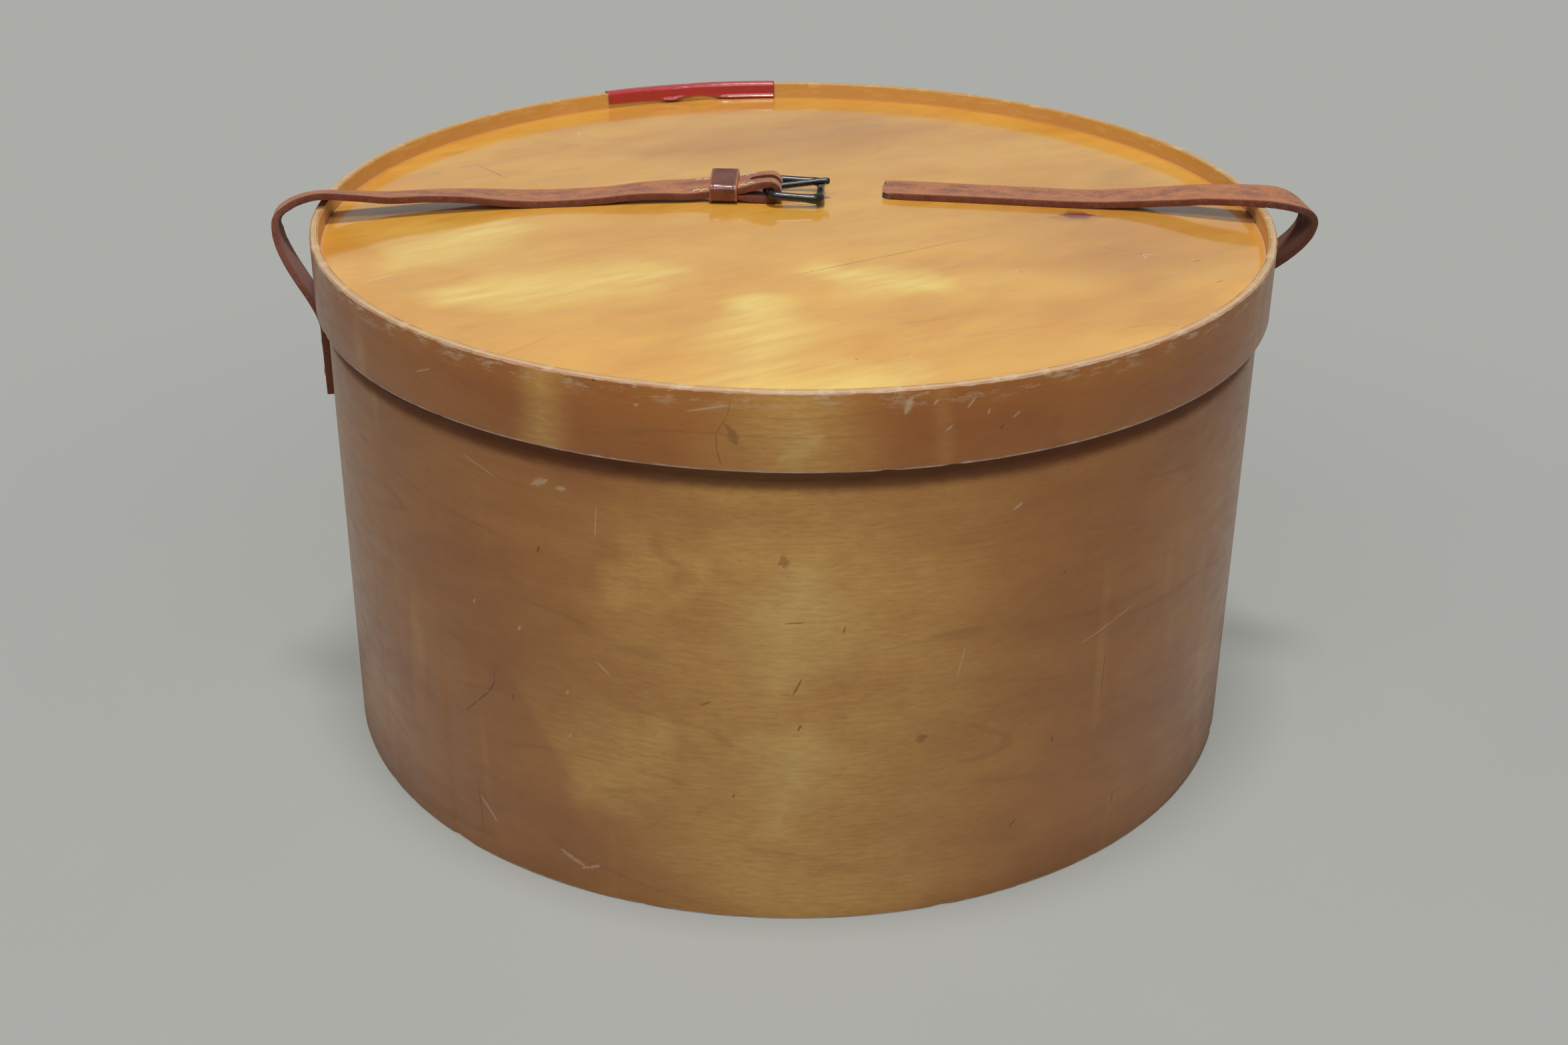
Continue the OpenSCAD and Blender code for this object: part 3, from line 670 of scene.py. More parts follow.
def hoop_wear(seed, low, high, inner, outer, bite):
    """Wear for a hoop: chips at both rims of its outer face, and slow waves all round."""
    at_foot, at_top, at_lip = chips(seed), chips(seed + 3), chips(seed + 5)
    wave = closed_noise(seed + 7, SEGMENTS, 90.0) * 0.06

    def wear(r, z, ring):
        out, up = wave[ring], 0.0
        if r > outer - CHIP_ZONE and z < low + CHIP_ZONE:
            out, up = out - bite * at_foot[ring], bite * 0.9 * at_foot[ring]
        if r > outer - TOP_ZONE and z > high - CHIP_ZONE:
            out, up = out - bite * 0.8 * at_top[ring], -bite * 0.6 * at_top[ring]
        if r < inner + LIP_ZONE and z > high - LIP_ZONE:
            up -= bite * 0.5 * at_lip[ring]
        return out, up
    return wear


low, high = wall_low / MM, wall_high / MM
outline = round_outline(((WALL_IN, low, 0.3), (WALL_R, low, 0.6), (WALL_R, high, 0.5), (WALL_IN, high, 0.5)))
wall = turn("wall", outline, SEGMENTS, wall_finish, hoop_wear(11, low, high, WALL_IN, WALL_R, 0.5))
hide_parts("body_wall")
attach(wall, "box")

low, high = rim_low / MM, rim_high / MM
outline = round_outline(((RIM_IN, low, 0.3), (RIM_R, low, 0.7), (RIM_R, high, 1.0), (RIM_IN, high, 0.6)))
rim = turn("rim", outline, SEGMENTS, rim_finish, hoop_wear(31, low, high, RIM_IN, RIM_R, 0.35))
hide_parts("lid_rim")
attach(rim, "lid")
print("wall", len(wall.data.polygons), "faces, rim", len(rim.data.polygons))

# %% [markdown]
# ## Panel finish
# The panel is a disc of the same plywood, brighter because the light falls straight on it, and glossier
# because nobody scrubs a lid. Its grain crosses it at 24 degrees. Wide strokes again paint shade on its
# right and back, and a painted highlight on patches at the front left, which the grain breaks up. A thin
# ring along the rim is paler.

# %% Panel finish
GRAIN_TURN = -24.0
PALE_RING_FROM, PALE_RING_TO = 0.2185, 0.2208


def marks_on_panel(*rows):
    """Strokes from (x, y, x, y, width, fray), all in mm."""
    return [((a * MM, b * MM), (c * MM, d * MM), width * MM, fray * MM) for a, b, c, d, width, fray in rows]


panel_finish, sheet = new_finish("panel_varnish", Coat_Roughness=0.08, Coat_IOR=1.65)
flat = sheet.vector("MULTIPLY", sheet.place(), (1.0, 1.0, 0.0))
along = sheet.spin(flat, GRAIN_TURN)
grain = sheet.use(wood_grain, Vector=along, Pale=shade(243, 182, 73), Deep=shade(221, 151, 48),
                  Vein=shade(160, 96, 44), Vein_Share=0.16, Fleck_Share=0.12)
cloud = sheet.step(sheet.noise(along, (6.0, 17.0, 1.0), 3.0), 0.45, 0.75, 0.0, 0.35)
colour = sheet.mix(cloud, grain["Color"], shade(246, 198, 92))

ragged, drift = rag(sheet, flat), sheet.sway(along, (30.0, 60.0, 1.0))
slow = sheet.sway(along, (9.0, 26.0, 1.0), 3.0, 0.5)
# Painted shade: dusky zones darken the lid's right and back.
painted_shade = marks_on_panel((170, 60, 140, -110, 115, 80), (-60, 120, 100, 150, 80, 80))
colour, _ = add_marks(sheet, flat, colour, ((painted_shade, slow, -0.4, 0.6, shade(184, 114, 40)),))
# Painted highlight: pale patches at the front left.
painted_highlight = draw_strokes(sheet, flat, slow, marks_on_panel(
    (-42, -225, -30, -110, 46, 60), (-160, -84, -60, -62, 48, 60), (-185, -40, -140, 10, 50, 60),
    (10, -70, 50, -95, 36, 60), (-30, -215, 20, -190, 60, 60)), -0.4)
figure = sheet.step(sheet.noise(along, (14.0, 110.0, 1.0), 4.0, 0.65), 0.36, 0.60, 0.5, 1.0)
colour = sheet.tint(colour, shade(255, 222, 114), sheet.times(painted_highlight, figure), 0.95)
print("panel finish: veneer with", len(painted_shade), "dusky zones")

# %% Marks on the panel
smudges = marks_on_panel(
    (-172, 94, -167, 97, 4.5, 8.0), (-158, 104, -150, 108, 4.0, 8.0), (-168, 126, -156, 132, 6.0, 8.0),
    (-190, 60, -184, 62, 4.0, 8.0), (40, 150, 70, 158, 7.0, 9.0))
nicks = marks_on_panel(
    (-15, -75, 75, -35, 0.4, 0.8), (152.4, -62.8, 152.6, -62.4, 1.3, 0.8), (135, -50, 150, -60, 0.3, 0.8),
    (173, -76, 177, -74, 0.6, 0.4), (175, -103, 179, -101, 0.6, 0.4), (1.5, -173, 2.5, -173, 0.9, 0.6),
    (91.5, -80, 92.5, -80, 0.9, 0.6), (-150, 110, -133, 82, 0.5, 0.5))
scratches = marks_on_panel(
    (47, -36, 53, -34, 0.5, 0.5), (-95, 163, -94, 155, 0.7, 0.6), (24, -174, 25, -173, 0.9, 0.6),
    (-200, -62, -186, -52, 0.5, 0.8), (153, -63, 158, -64.5, 0.5, 0.4), (152.6, -64, 153.4, -69, 0.5, 0.4))
haze = marks_on_panel((124, -7, 148, -8.5, 12.0, 8.0))
spill = marks_on_panel((130, -4, 145, -6, 8.5, 8.0))
colour, (_, dark, _, _, _) = add_marks(sheet, flat, colour, (
    (smudges, ragged, -0.5, 0.4, shade(150, 120, 100)), (nicks, ragged, 0.4, 0.6, shade(84, 48, 28)),
    (scratches, ragged, 0.4, 0.5, shade(246, 220, 178)), (haze, drift, -0.5, 0.6, shade(150, 66, 56)),
    (spill, drift, 0.3, 0.9, shade(116, 22, 30))))
pale_rim_ring = sheet.step(sheet.measure("LENGTH", flat), PALE_RING_FROM, PALE_RING_TO)
smear = sheet.noise(along, (22.0, 60.0, 1.0), 4.0, 0.6)
height = sheet.minus(sheet.times(grain["Height"], 0.4), dark)
sheet.put_out(Base_Color=sheet.tint(colour, shade(232, 196, 170), pale_rim_ring, 0.55),
              Roughness=sheet.step(grain["Gloss"], 0.2, 0.8, 0.32, 0.5),
              Coat_Weight=sheet.step(smear, 0.3, 0.7, 1.0, 0.85), Normal=sheet.bump(height, 0.25, 0.0003))
print("nicks and scratches on the panel:", len(nicks) + len(scratches))

# %% [markdown]
# ## Panel
# A bent hoop never holds a panel quite flat, so the disc gets a shallow warp, which shows in the
# reflections. The disc is turned like the hoops, and the small hole that turning leaves in its middle is
# drawn together.

# %% Panel
panel_low, panel_high = (corner.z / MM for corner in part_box("lid_panel"))
panel_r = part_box("lid_panel")[1].x / MM
PANEL_EDGE, HUB_R, WARP = 0.4, 2.0, 0.22

rings = [(r, panel_high) for r in np.linspace(panel_r - PANEL_EDGE, HUB_R, 60)]
outline = [(panel_r, panel_high - PANEL_EDGE), *rings, (HUB_R, panel_low), (panel_r, panel_low)]
warp_a, warp_b = closed_noise(51, SEGMENTS, 260.0), closed_noise(53, SEGMENTS, 420.0)


def panel_warp(r, z, ring):
    """Shallow hollows and swells on top, nothing at the rim or in the middle."""
    share = r / panel_r
    if z < panel_high - 0.5:
        return 0.0, 0.0
    wide, narrow = share ** 2 * (1 - share ** 6), share * (1 - share ** 2)
    return 0.0, WARP * (warp_a[ring] * wide + warp_b[ring] * narrow)


def mend(made, hubs=()):
    """Turns every face outward. hubs are the heights where turning left a hole round the axis to close."""
    work = bmesh.new()
    work.from_mesh(made.data)
    for level in hubs:
        near = [v for v in work.verts if v.co.xy.length < 1.25 * HUB_R * MM]
        hub = [v for v in near if abs(v.co.z / MM - level) < 0.45]
        bmesh.ops.pointmerge(work, verts=hub, merge_co=(0, 0, level * MM))
    if hubs:
        bmesh.ops.dissolve_degenerate(work, dist=1e-7, edges=work.edges)
    bmesh.ops.recalc_face_normals(work, faces=work.faces)
    work.to_mesh(made.data)
    work.free()


panel = turn("panel", outline, SEGMENTS, panel_finish, panel_warp)
mend(panel, (panel_low, panel_high))
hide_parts("lid_panel")
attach(panel, "lid")
print("panel", len(panel.data.polygons), "faces, radius", round(panel_r, 1))

# %% [markdown]
# ## Plain wood inside
# The bottom board and the thin hoops that hold the board and the panel are bare, paler wood. Their solids
# already have the right shape, so they stay, and only get a finish.

# %% Bare wood
bare_finish, sheet = new_finish("bare_wood")
position = sheet.place()
grain = sheet.use(wood_grain, Vector=position, Pale=shade(226, 194, 146), Deep=shade(204, 166, 114),
                  Vein=shade(150, 108, 66), Vein_Share=0.3, Fleck_Share=0.35)
soil = sheet.step(sheet.noise(position, (14.0, 14.0, 14.0), 4.0), 0.5, 0.75)
sheet.put_out(Base_Color=sheet.tint(grain["Color"], shade(150, 120, 90), soil, 0.4),
              Roughness=sheet.step(grain["Gloss"], 0.2, 0.8, 0.6, 0.8),
              Normal=sheet.bump(grain["Height"], 0.4, 0.0003))


def dress(material, *names):
    """Gives carried-over solids a finish."""
    for name in names:
        solid = frame["nodes"][name]
        solid.data.materials.clear()
        solid.data.materials.append(material)


dress(bare_finish, "bottom_board", "bottom_hoop", "lid_hoop")
print("bare wood on three solids")

# %% [markdown]
# ## The strap's line
# Each half of the strap climbs from its rivets, bows outward, turns over the rim and lies on the lid. Its
# line is a chain of smooth curves through knots, each a place and a heading. The solids have a few such
# knots. Here there are more, so the leather can wander to the side by a few millimetres and sag between the
# places where it rests. Both halves are written as if on the left, and the right one is mirrored.

# %% Knots
STRAP_HALF, STRAP_THICK = 9.0, 3.4
LIE_Z, RIM_PASS_Z, BEND_Z, TAIL_FOOT = 243.9, 253.0, 200.0, 167.7
BAR = np.array((-6.0, 37.0, 0.0))
BAR_Z, FOLD_R = 247.75, 3.85
BUCKLE_TURN = math.radians(-10.0)


def turned(v):
    """A direction in the buckle's own frame, turned into the box's frame."""
    x, y, z = v
    return np.array((x * math.cos(BUCKLE_TURN) - y * math.sin(BUCKLE_TURN),
                     x * math.sin(BUCKLE_TURN) + y * math.cos(BUCKLE_TURN), z))


ALONG_Y = np.array((0.0, 1.0, 0.0))
ALONG_BAR = turned(ALONG_Y)


def knot(place, heading, across=ALONG_Y):
    return (np.array(place, float), np.array(heading, float), across)


def by_bar(x, z, heading):
    """A knot given from the buckle's bar."""
    return knot(BAR + turned((x, 0, z)), turned(heading), ALONG_BAR)


def unit(v):
    v = np.array(v, float)
    return v / np.linalg.norm(v)


def through(*places):
    """Knots through a row of places, each heading from its last neighbour to its next."""
    rows = np.array(places, float)
    last = len(rows) - 1
    return [knot(rows[i], unit(rows[min(i + 1, last)] - rows[max(i - 1, 0)])) for i in range(len(rows))]


left_knots = [
    knot((-222.2, 0, TAIL_FOOT), (0, 0, 1)), knot((-222.4, 0, BEND_Z), (0, 0, 0.8)),
    knot((-241.9, 20, 244), unit((0, 0.45, 1))), knot((-223, 28.6, 253.9), (1, 0.2, 0)),
    *through((-223, 28.6, 253.9), (-206, 32.0, 251.8), (-190, 35.2, 249.5), (-172, 38.3, 248.7),
             (-152, 40.9, 247.1), (-136, 42.1, 245.2), (-120, 42.6, 244.1), (-104, 42.8, 244.0),
             (-88, 43.0, 244.5), (-72, 43.1, 245.8), (-58, 42.9, 246.2), (-47, 42.7, 246.0),
             (-38, 42.4, 246.5))[1:-1],
    by_bar(-32, 246.6, (1, 0, 0.1)), by_bar(-16, 248.5, (1, 0, 0.15)), by_bar(0, BAR_Z + FOLD_R, (1, 0, 0))]
for angle in np.radians(np.arange(75, -76, -15)):
    left_knots.append(by_bar(FOLD_R * math.cos(angle), BAR_Z + FOLD_R * math.sin(angle),
                             (math.sin(angle), 0, -math.cos(angle))))
left_knots += [
    by_bar(0, LIE_Z, (-1, 0, 0)), by_bar(-10, 244.6, (-1, 0, 0.1)), by_bar(-16.5, 245.4, (-1, 0, 0.05)),
    by_bar(-27, 245.6, (-1, 0, 0))]
right_knots = [
    knot((-222.2, 0, TAIL_FOOT), (0, 0, 1)), knot((-222.4, 0, BEND_Z), (0, 0, 0.5)),
    knot((-248.4, -18, 240), unit((0, -0.25, 1))), knot((-223, -19, RIM_PASS_Z), (1, 0.28, 0)),
    *through((-223, -19, RIM_PASS_Z), (-200, -9.4, 251.4), (-184, -0.9, 248.5), (-168, 6.3, 245.9),
             (-152, 10.9, 244.4), (-136, 15.0, 244.1), (-96, 26.0, 244.1), (-50, 38.3, 244.1))[1:]]
print("knots:", len(left_knots), "left,", len(right_knots), "right")

# %% Stations along the strap
def strap_line(knots, spacing=0.9):
    """Even stations along the knots: arc length, place, heading and width direction of each."""
    places, widths = [], []
    for (a, heading_a, across_a), (b, heading_b, across_b) in zip(knots, knots[1:]):
        span = np.linalg.norm(b - a)
        for s in np.linspace(0, 1, 60, endpoint=False):
            places.append((2 * s ** 3 - 3 * s ** 2 + 1) * a + (s ** 3 - 2 * s ** 2 + s) * span * heading_a
                          + (3 * s ** 2 - 2 * s ** 3) * b + (s ** 3 - s ** 2) * span * heading_b)
            widths.append((1 - s) * across_a + s * across_b)
    places, widths = np.array(places + [knots[-1][0]]), np.array(widths + [knots[-1][2]])
    run = np.concatenate(([0], np.cumsum(np.linalg.norm(np.diff(places, axis=0), axis=1))))
    even = np.linspace(0, run[-1], int(run[-1] / spacing) + 1)
    places, widths = (np.column_stack([np.interp(even, run, column) for column in rows.T])
                      for rows in (places, widths))
    headings = np.gradient(places, axis=0)
    headings /= np.linalg.norm(headings, axis=1)[:, None]
    widths -= headings * (widths * headings).sum(1)[:, None]
    widths /= np.linalg.norm(widths, axis=1)[:, None]
    return even, places, headings, widths


left_line, right_line = strap_line(left_knots), strap_line(right_knots)
print("left half", round(left_line[0][-1]), "mm, right half", round(right_line[0][-1]), "mm")

# %% [markdown]
# ## Leather
# Old harness leather is tan on its grain side, greyed with dirt, and red-brown and fibrous at its cut edges
# and on its back. The finish reads the strap's own map, which runs along it in metres and round its section
# from the middle of the top, so grain, edge and back stay where they are when the strap bends.

# %% Leather group
leather, sheet, given = new_group(
    "leather",
    [("Vector", "Vector"), ("Tan", "Color"), ("Dirt", "Color"), ("Dirt Share", "Float", 0.5)],
    [("Color", "Color"), ("Height", "Float"), ("Gloss", "Float")])
patch = sheet.noise(given["Vector"], (70.0, 130.0, 90.0), 4.0, 0.65)
crease = sheet.noise(given["Vector"], (650.0, 420.0, 420.0), 4.0, 0.7)
pores = sheet.node("TexVoronoi", {"Vector": given["Vector"], "Scale": 1300.0}).outputs["Distance"]
soil = sheet.step(sheet.plus(patch, sheet.times(crease, 0.35)), 0.52, 0.86)
colour = sheet.mix(sheet.step(crease, 0.35, 0.65, 0.0, 0.3), given["Tan"], given["Dirt"])
sheet.put_out(Color=sheet.tint(colour, given["Dirt"], soil, given["Dirt Share"]),
              Height=sheet.plus(sheet.times(pores, 0.5), crease), Gloss=patch)
print("leather:", len(leather.nodes), "nodes")

# %% Strap finish
DIRT_OUT, DIRT_IN = 0.0088, 0.0040
EDGE_FROM, EDGE_TO, BACK_FROM, BACK_TO = 0.0079, 0.0090, 0.0115, 0.0125

strap_finish, sheet = new_finish("strap_leather", Sheen_Weight=0.15, Sheen_Roughness=0.5)
lay = sheet.node("UVMap", uv_map="strap_lay").outputs["UV"]
off_centre = sheet.math("ABSOLUTE", sheet.split(lay)[1])
skin = sheet.use(leather, Vector=lay, Tan=shade(198, 127, 80), Dirt=shade(138, 92, 78),
                 Dirt_Share=sheet.step(off_centre, DIRT_OUT, DIRT_IN, 0.15, 0.95))
fibre = sheet.noise(lay, (1300.0, 1700.0, 1.0), 4.0, 0.75)
ragged = sheet.times(sheet.minus(fibre, 0.5), 0.0014)
edge = sheet.step(sheet.plus(off_centre, ragged), EDGE_FROM, EDGE_TO)
edge_colour = sheet.mix(sheet.step(fibre, 0.3, 0.75), shade(86, 38, 25), shade(152, 82, 54))
back = sheet.step(off_centre, BACK_FROM, BACK_TO)
flesh = sheet.mix(sheet.noise(lay, (900.0, 300.0, 1.0), 4.0, 0.7), shade(104, 58, 42), shade(156, 100, 76))
rough = sheet.plus(skin["Height"], sheet.times(sheet.times(edge, fibre), 2.5))
sheet.put_out(Base_Color=sheet.mix(back, sheet.mix(edge, skin["Color"], edge_colour), flesh),
              Roughness=sheet.step(skin["Gloss"], 0.3, 0.7, 0.52, 0.78),
              Normal=sheet.bump(rough, 0.5, 0.0004))
print("strap finish:", len(strap_finish.node_tree.nodes), "nodes")

# %% [markdown]
# ## How the strap lies
# Leather that has been buckled for years doesn't lie level. The left half rolls its near edge up where it
# crosses the rim, and both halves lean forward further in. The lean is a slope across the width, about the
# strap's middle, that changes along the strap. At the buckle's bar it comes to nothing, so that the frame
# can turn there. Stitches and buckle take their slope from the same table, so they stay together. The
# keeper leans by a constant of its own.

# %% Lean
LEFT_LEAN = (
    (-244, 0.0), (-236, -0.17), (-224, -0.228), (-208, -0.22), (-192, -0.148), (-168, -0.123), (-152, -0.067),
    (-136, 0.01), (-120, 0.033), (-96, 0.011), (-80, 0.0), (-64, 0.046), (-50, 0.11), (-38, 0.114),
    (-21, 0.07), (-9, 0.0), (-3, 0.0), (30, 0.03))
RIGHT_LEAN = (
    (-247, 0.0), (-238, 0.15), (-230, 0.17), (-222, 0.14), (-208, 0.09), (-192, 0.05), (-168, 0.025),
    (-136, 0.038), (-50, 0.06))
LEAN_ABOVE = 238.0


def lean_slope(table, x):
    """Rise per mm across the strap, from a table of places and slopes."""
    return np.interp(x, *zip(*table))


def end_lift(x, y):
    """The rise of a point of the buckle's end, given from the bar."""
    return lean_slope(LEFT_LEAN, BAR[0] + x) * y


print("slope at the rim", lean_slope(LEFT_LEAN, -223), "and at the keeper", lean_slope(LEFT_LEAN, -28))

# %% [markdown]
# ## Strap bodies
# A strap is a rounded section swept along its line. A curve with a bevel could do that, but here every
# station may have its own width, thickness and ragged edge, which is what makes the difference between
# leather and tape. Each half is two meshes that meet low on the riser, because a piece can bend across one
# joint only. Both take their fraying from the same table, so they meet without a step.

# %% Section
SECTION_ROUND = 0.6


def strap_section(half, thick, across=14, corner=4):
    """Points (across, up) of one section, from the middle of the back, and their place round it."""
    corners = ((half, -thick / 2), (half, thick / 2), (-half, thick / 2), (-half, -thick / 2))
    points = []
    for index, (x, y) in enumerate(corners):
        centre = np.array((x - math.copysign(SECTION_ROUND, x), y - math.copysign(SECTION_ROUND, y)))
        for a in np.linspace(0, math.pi / 2, corner + 1):
            a += -math.pi / 2 + index * math.pi / 2
            points.append(centre + SECTION_ROUND * np.array((math.cos(a), math.sin(a))))
        if index in (1, 3):
            far = -1 if index == 1 else 1
            for share in np.linspace(0, 1, across + 1)[1:-1]:
                points.append(np.array((far * (half - SECTION_ROUND) * (2 * share - 1), y)))
    points = np.roll(np.array(points), across // 2, axis=0)
    closed = np.vstack((points, points[:1]))
    run = np.concatenate(([0], np.cumsum(np.linalg.norm(np.diff(closed, axis=0), axis=1))))
    return points, run - run[-1] / 2


section, section_run = strap_section(STRAP_HALF, STRAP_THICK)
print("strap section of", len(section), "points,", round(section_run[-1] * 2, 1), "mm round")

# %% Sweep
EDGE_LAY = 0.0102
FUZZ, UNEVEN = (0.06, 0.04), 0.35


def sweep(name, line, first, last, mirrored, lean, seed, shape=None):
    """A strap mesh between two arc lengths. shape(points, arc) may move a section's (along, across, up)."""
    arcs, places, headings, widths = line
    picked = np.where((arcs >= first - 1e-6) & (arcs <= last + 1e-6))[0]
    size, rings = len(section), len(picked)
    at_edge = np.clip((np.abs(section[:, 0]) - STRAP_HALF + 1.0), 0, 1)
    fuzz = np.random.default_rng(seed).normal(0, 1, (len(arcs), size, 2)) * FUZZ
    uneven = closed_noise(seed + 1, 2 * len(arcs), 14.0)[:len(arcs)] * UNEVEN
    points = []
    for i in picked:
        local = np.column_stack((np.zeros(size), section))
        wider = uneven[i] * section[:, 0] / STRAP_HALF
        local[:, 1] += at_edge * fuzz[i, :, 0] * np.sign(section[:, 0]) + wider
        local[:, 2] += at_edge * fuzz[i, :, 1]
        if shape:
            local = shape(local, arcs[i])
        ways = (headings[i], widths[i], np.cross(headings[i], widths[i]))
        ring = places[i] + sum(np.outer(local[:, k], way) for k, way in enumerate(ways))
        slope = lean_slope(lean, places[i][0]) if places[i][2] > LEAN_ABOVE else 0.0
        ring[:, 2] += slope * local[:, 1]
        points.extend(ring)
    points = np.array(points) * (-1 if mirrored else 1, 1, 1)
    faces, lays = grid_faces(rings, size, ends_meet=False), []
    for a, b in zip(arcs[picked], arcs[picked[1:]]):
        for c, d in zip(section_run, section_run[1:]):
            lays.extend(((a, c), (b, c), (b, d), (a, d)))
    for ring in (0, rings - 1):
        faces.append([ring * size + k for k in range(size)])
        lays.extend([(arcs[picked[ring]], EDGE_LAY / MM)] * size)
    made = add_mesh(name, points, faces, strap_finish)
    made.data.uv_layers.new(name="strap_lay").data.foreach_set("uv", (np.array(lays) * MM).ravel())
    mend(made)
    made.data.set_sharp_from_angle(angle=math.radians(60))
    return made


print("sweep ready")

# %% Lower straps and the left half
SEAM_Z = 209.0


def seam(line):
    """The arc length where the lower and the upper mesh of a half meet."""
    return next(arc for arc, place in zip(line[0], line[1]) if place[2] > SEAM_Z)


def skived(local, arc):
    """The return layer is pared thin towards its end."""
    local[:, 2] *= np.interp(left_end - arc, (0, 10, 17), (0.4, 0.55, 1.0))
    return local


left_cut, right_cut = seam(left_line), seam(right_line)
left_end, right_end = left_line[0][-1], right_line[0][-1]
left_lower = sweep("left_strap_lower", left_line, 0, left_cut, False, LEFT_LEAN, 61)
right_lower = sweep("right_strap_lower", right_line, 0, right_cut, True, RIGHT_LEAN, 63)
left_upper = sweep("left_strap_upper", left_line, left_cut, left_end, False, LEFT_LEAN, 61, skived)
print("cuts at", round(left_cut, 1), "and", round(right_cut, 1), "mm up the straps")

# %% [markdown]
# ## Torn end
# The right half broke off, so its end is blunt and frayed, with its near corner worn round and a small
# notch further back. Each column of points near the end gets its own length, from the corner, the notch and
# seeded fraying.

# %% Right half
TORN_SPAN, END_BOW, END_THIN = 10.0, 0.008, 0.22
NOTCH_AT, NOTCH_R, NOTCH_DEEP = 5.0, 1.3, 0.9
CORNER_FROM, CORNER_SPAN, CORNER_LOSS = -5.2, 3.9, 4.6
fray_at = np.linspace(-STRAP_HALF, STRAP_HALF, 60)
fray_by = np.random.default_rng(71).normal(0, 0.22, 60)


def torn(local, arc):
    """Shortens and thins the strap towards its torn end."""
    share = np.clip((arc - right_end + TORN_SPAN) / TORN_SPAN, 0, 1)
    if share <= 0:
        return local
    across = local[:, 1]
    notch = np.sqrt(np.clip(NOTCH_R ** 2 - (across - NOTCH_AT) ** 2, 0, None)) * NOTCH_DEEP
    near_corner = np.clip((CORNER_FROM - across) / CORNER_SPAN, 0, 1)
    worn_away = CORNER_LOSS * (1 - np.sqrt(1 - near_corner ** 2)) + END_BOW * across ** 2
    local[:, 0] += share * (np.interp(across, fray_at, fray_by) - worn_away - notch)
    local[:, 2] *= 1 - END_THIN * share ** 2
    return local


right_upper = sweep("right_strap_upper", right_line, right_cut, right_end, True, RIGHT_LEAN, 63, torn)
print("right half", len(right_upper.data.polygons), "faces")

# %% [markdown]
# ## Slot for the prong
# At the fold the left half is punched, so that the prong can swing round the bar. A boolean cut with a
# rounded prism is the plain way to make it, as a punch does. The slot goes through both layers at the fold.
# In the upper layer alone it runs on further back, narrower, so that the prong has room when it is thrown
# over.

# %% Slot
SLOT_FOOT, SLOT_TOP, SLOT_HALF = 240.0, 256.0, 2.5
SLOTS = ((-4.25, 14.0, SLOT_FOOT, SLOT_HALF, 0.0), (-6.0, 14.0, BAR_Z, SLOT_HALF, 0.0),
         (-10.2, 0.0, BAR_Z, 1.95, 0.45))


def keep_shape(made):
    """Applies an object's modifiers."""
    bpy.context.view_layer.update()
    shaped = bpy.data.meshes.new_from_object(made.evaluated_get(bpy.context.evaluated_depsgraph_get()))
    made.modifiers.clear()
    made.data = shaped


def combine(made, operation, tool):
    """Cuts a mesh with a tool or joins the two, and removes the tool."""
    change = made.modifiers.new(tool.name, "BOOLEAN")
    change.operation, change.solver, change.object = operation, "EXACT", tool
    keep_shape(made)
    bpy.data.objects.remove(tool)


def cut_slot(strap, x_from, x_to, z_from, half, middle):
    """Cuts a slot with round ends, given from the bar, through a strap."""
    outline = []
    for end, start in ((x_to - half, -90), (x_from + half, 90)):
        for a in np.radians(np.linspace(start, start + 180, 9)):
            outline.append((end + half * math.cos(a), middle + half * math.sin(a)))
    count = len(outline)
    points = [BAR + turned((x, y, z)) for z in (z_from, SLOT_TOP) for x, y in outline]
    faces = [tuple(reversed(range(count))), tuple(range(count, 2 * count))]
    faces += [(k, (k + 1) % count, count + (k + 1) % count, count + k) for k in range(count)]
    punch = add_mesh("punch", points, faces, strap_finish, False)
    lays = punch.data.uv_layers.new(name="strap_lay").data
    lays.foreach_set("uv", [0.2, EDGE_LAY] * len(lays))
    combine(strap, "DIFFERENCE", punch)


for slot in SLOTS:
    cut_slot(left_upper, *slot)
print("left half", len(left_upper.data.polygons), "faces with its slot")

# %% [markdown]
# ## Strap meshes in place
# Each mesh takes the place of strap solids, which are hidden, and its transform is baked into its points.
# The table also gives each mesh two bodies and the start and end of a bend between them, but nothing reads
# these, so the meshes go on no body and do not bend.

# %% Strap solids hidden
for strap, bodies, start, end, nodes in (
        (left_lower, ("box", "left_riser"), (-0.224, 0, 0.194), (-0.224, 0, 0.206),
         ("left_strap_tail", "left_strap_riser")),
        (right_lower, ("box", "right_riser"), (0.224, 0, 0.194), (0.224, 0, 0.206),
         ("right_strap_tail", "right_strap_riser")),
        (left_upper, ("left_riser", "left_strap"), (-0.2475, 0.021, 0.240), (-0.2375, 0.021, 0.250),
         ("left_strap_run",)),
        (right_upper, ("right_riser", "right_strap"), (0.254, -0.018, 0.236), (0.244, -0.018, 0.246),
         ("right_strap_run",))):
    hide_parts(*nodes)
    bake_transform(strap)
    print(strap.name, "bends between", " and ".join(bodies))

# %% [markdown]
# ## Keeper
# A loop of darker, polished leather holds the folded end together. It is a flat band bent round the two
# layers, so it is a thin section swept round a rounded rectangle, with its edges rubbed to orange.

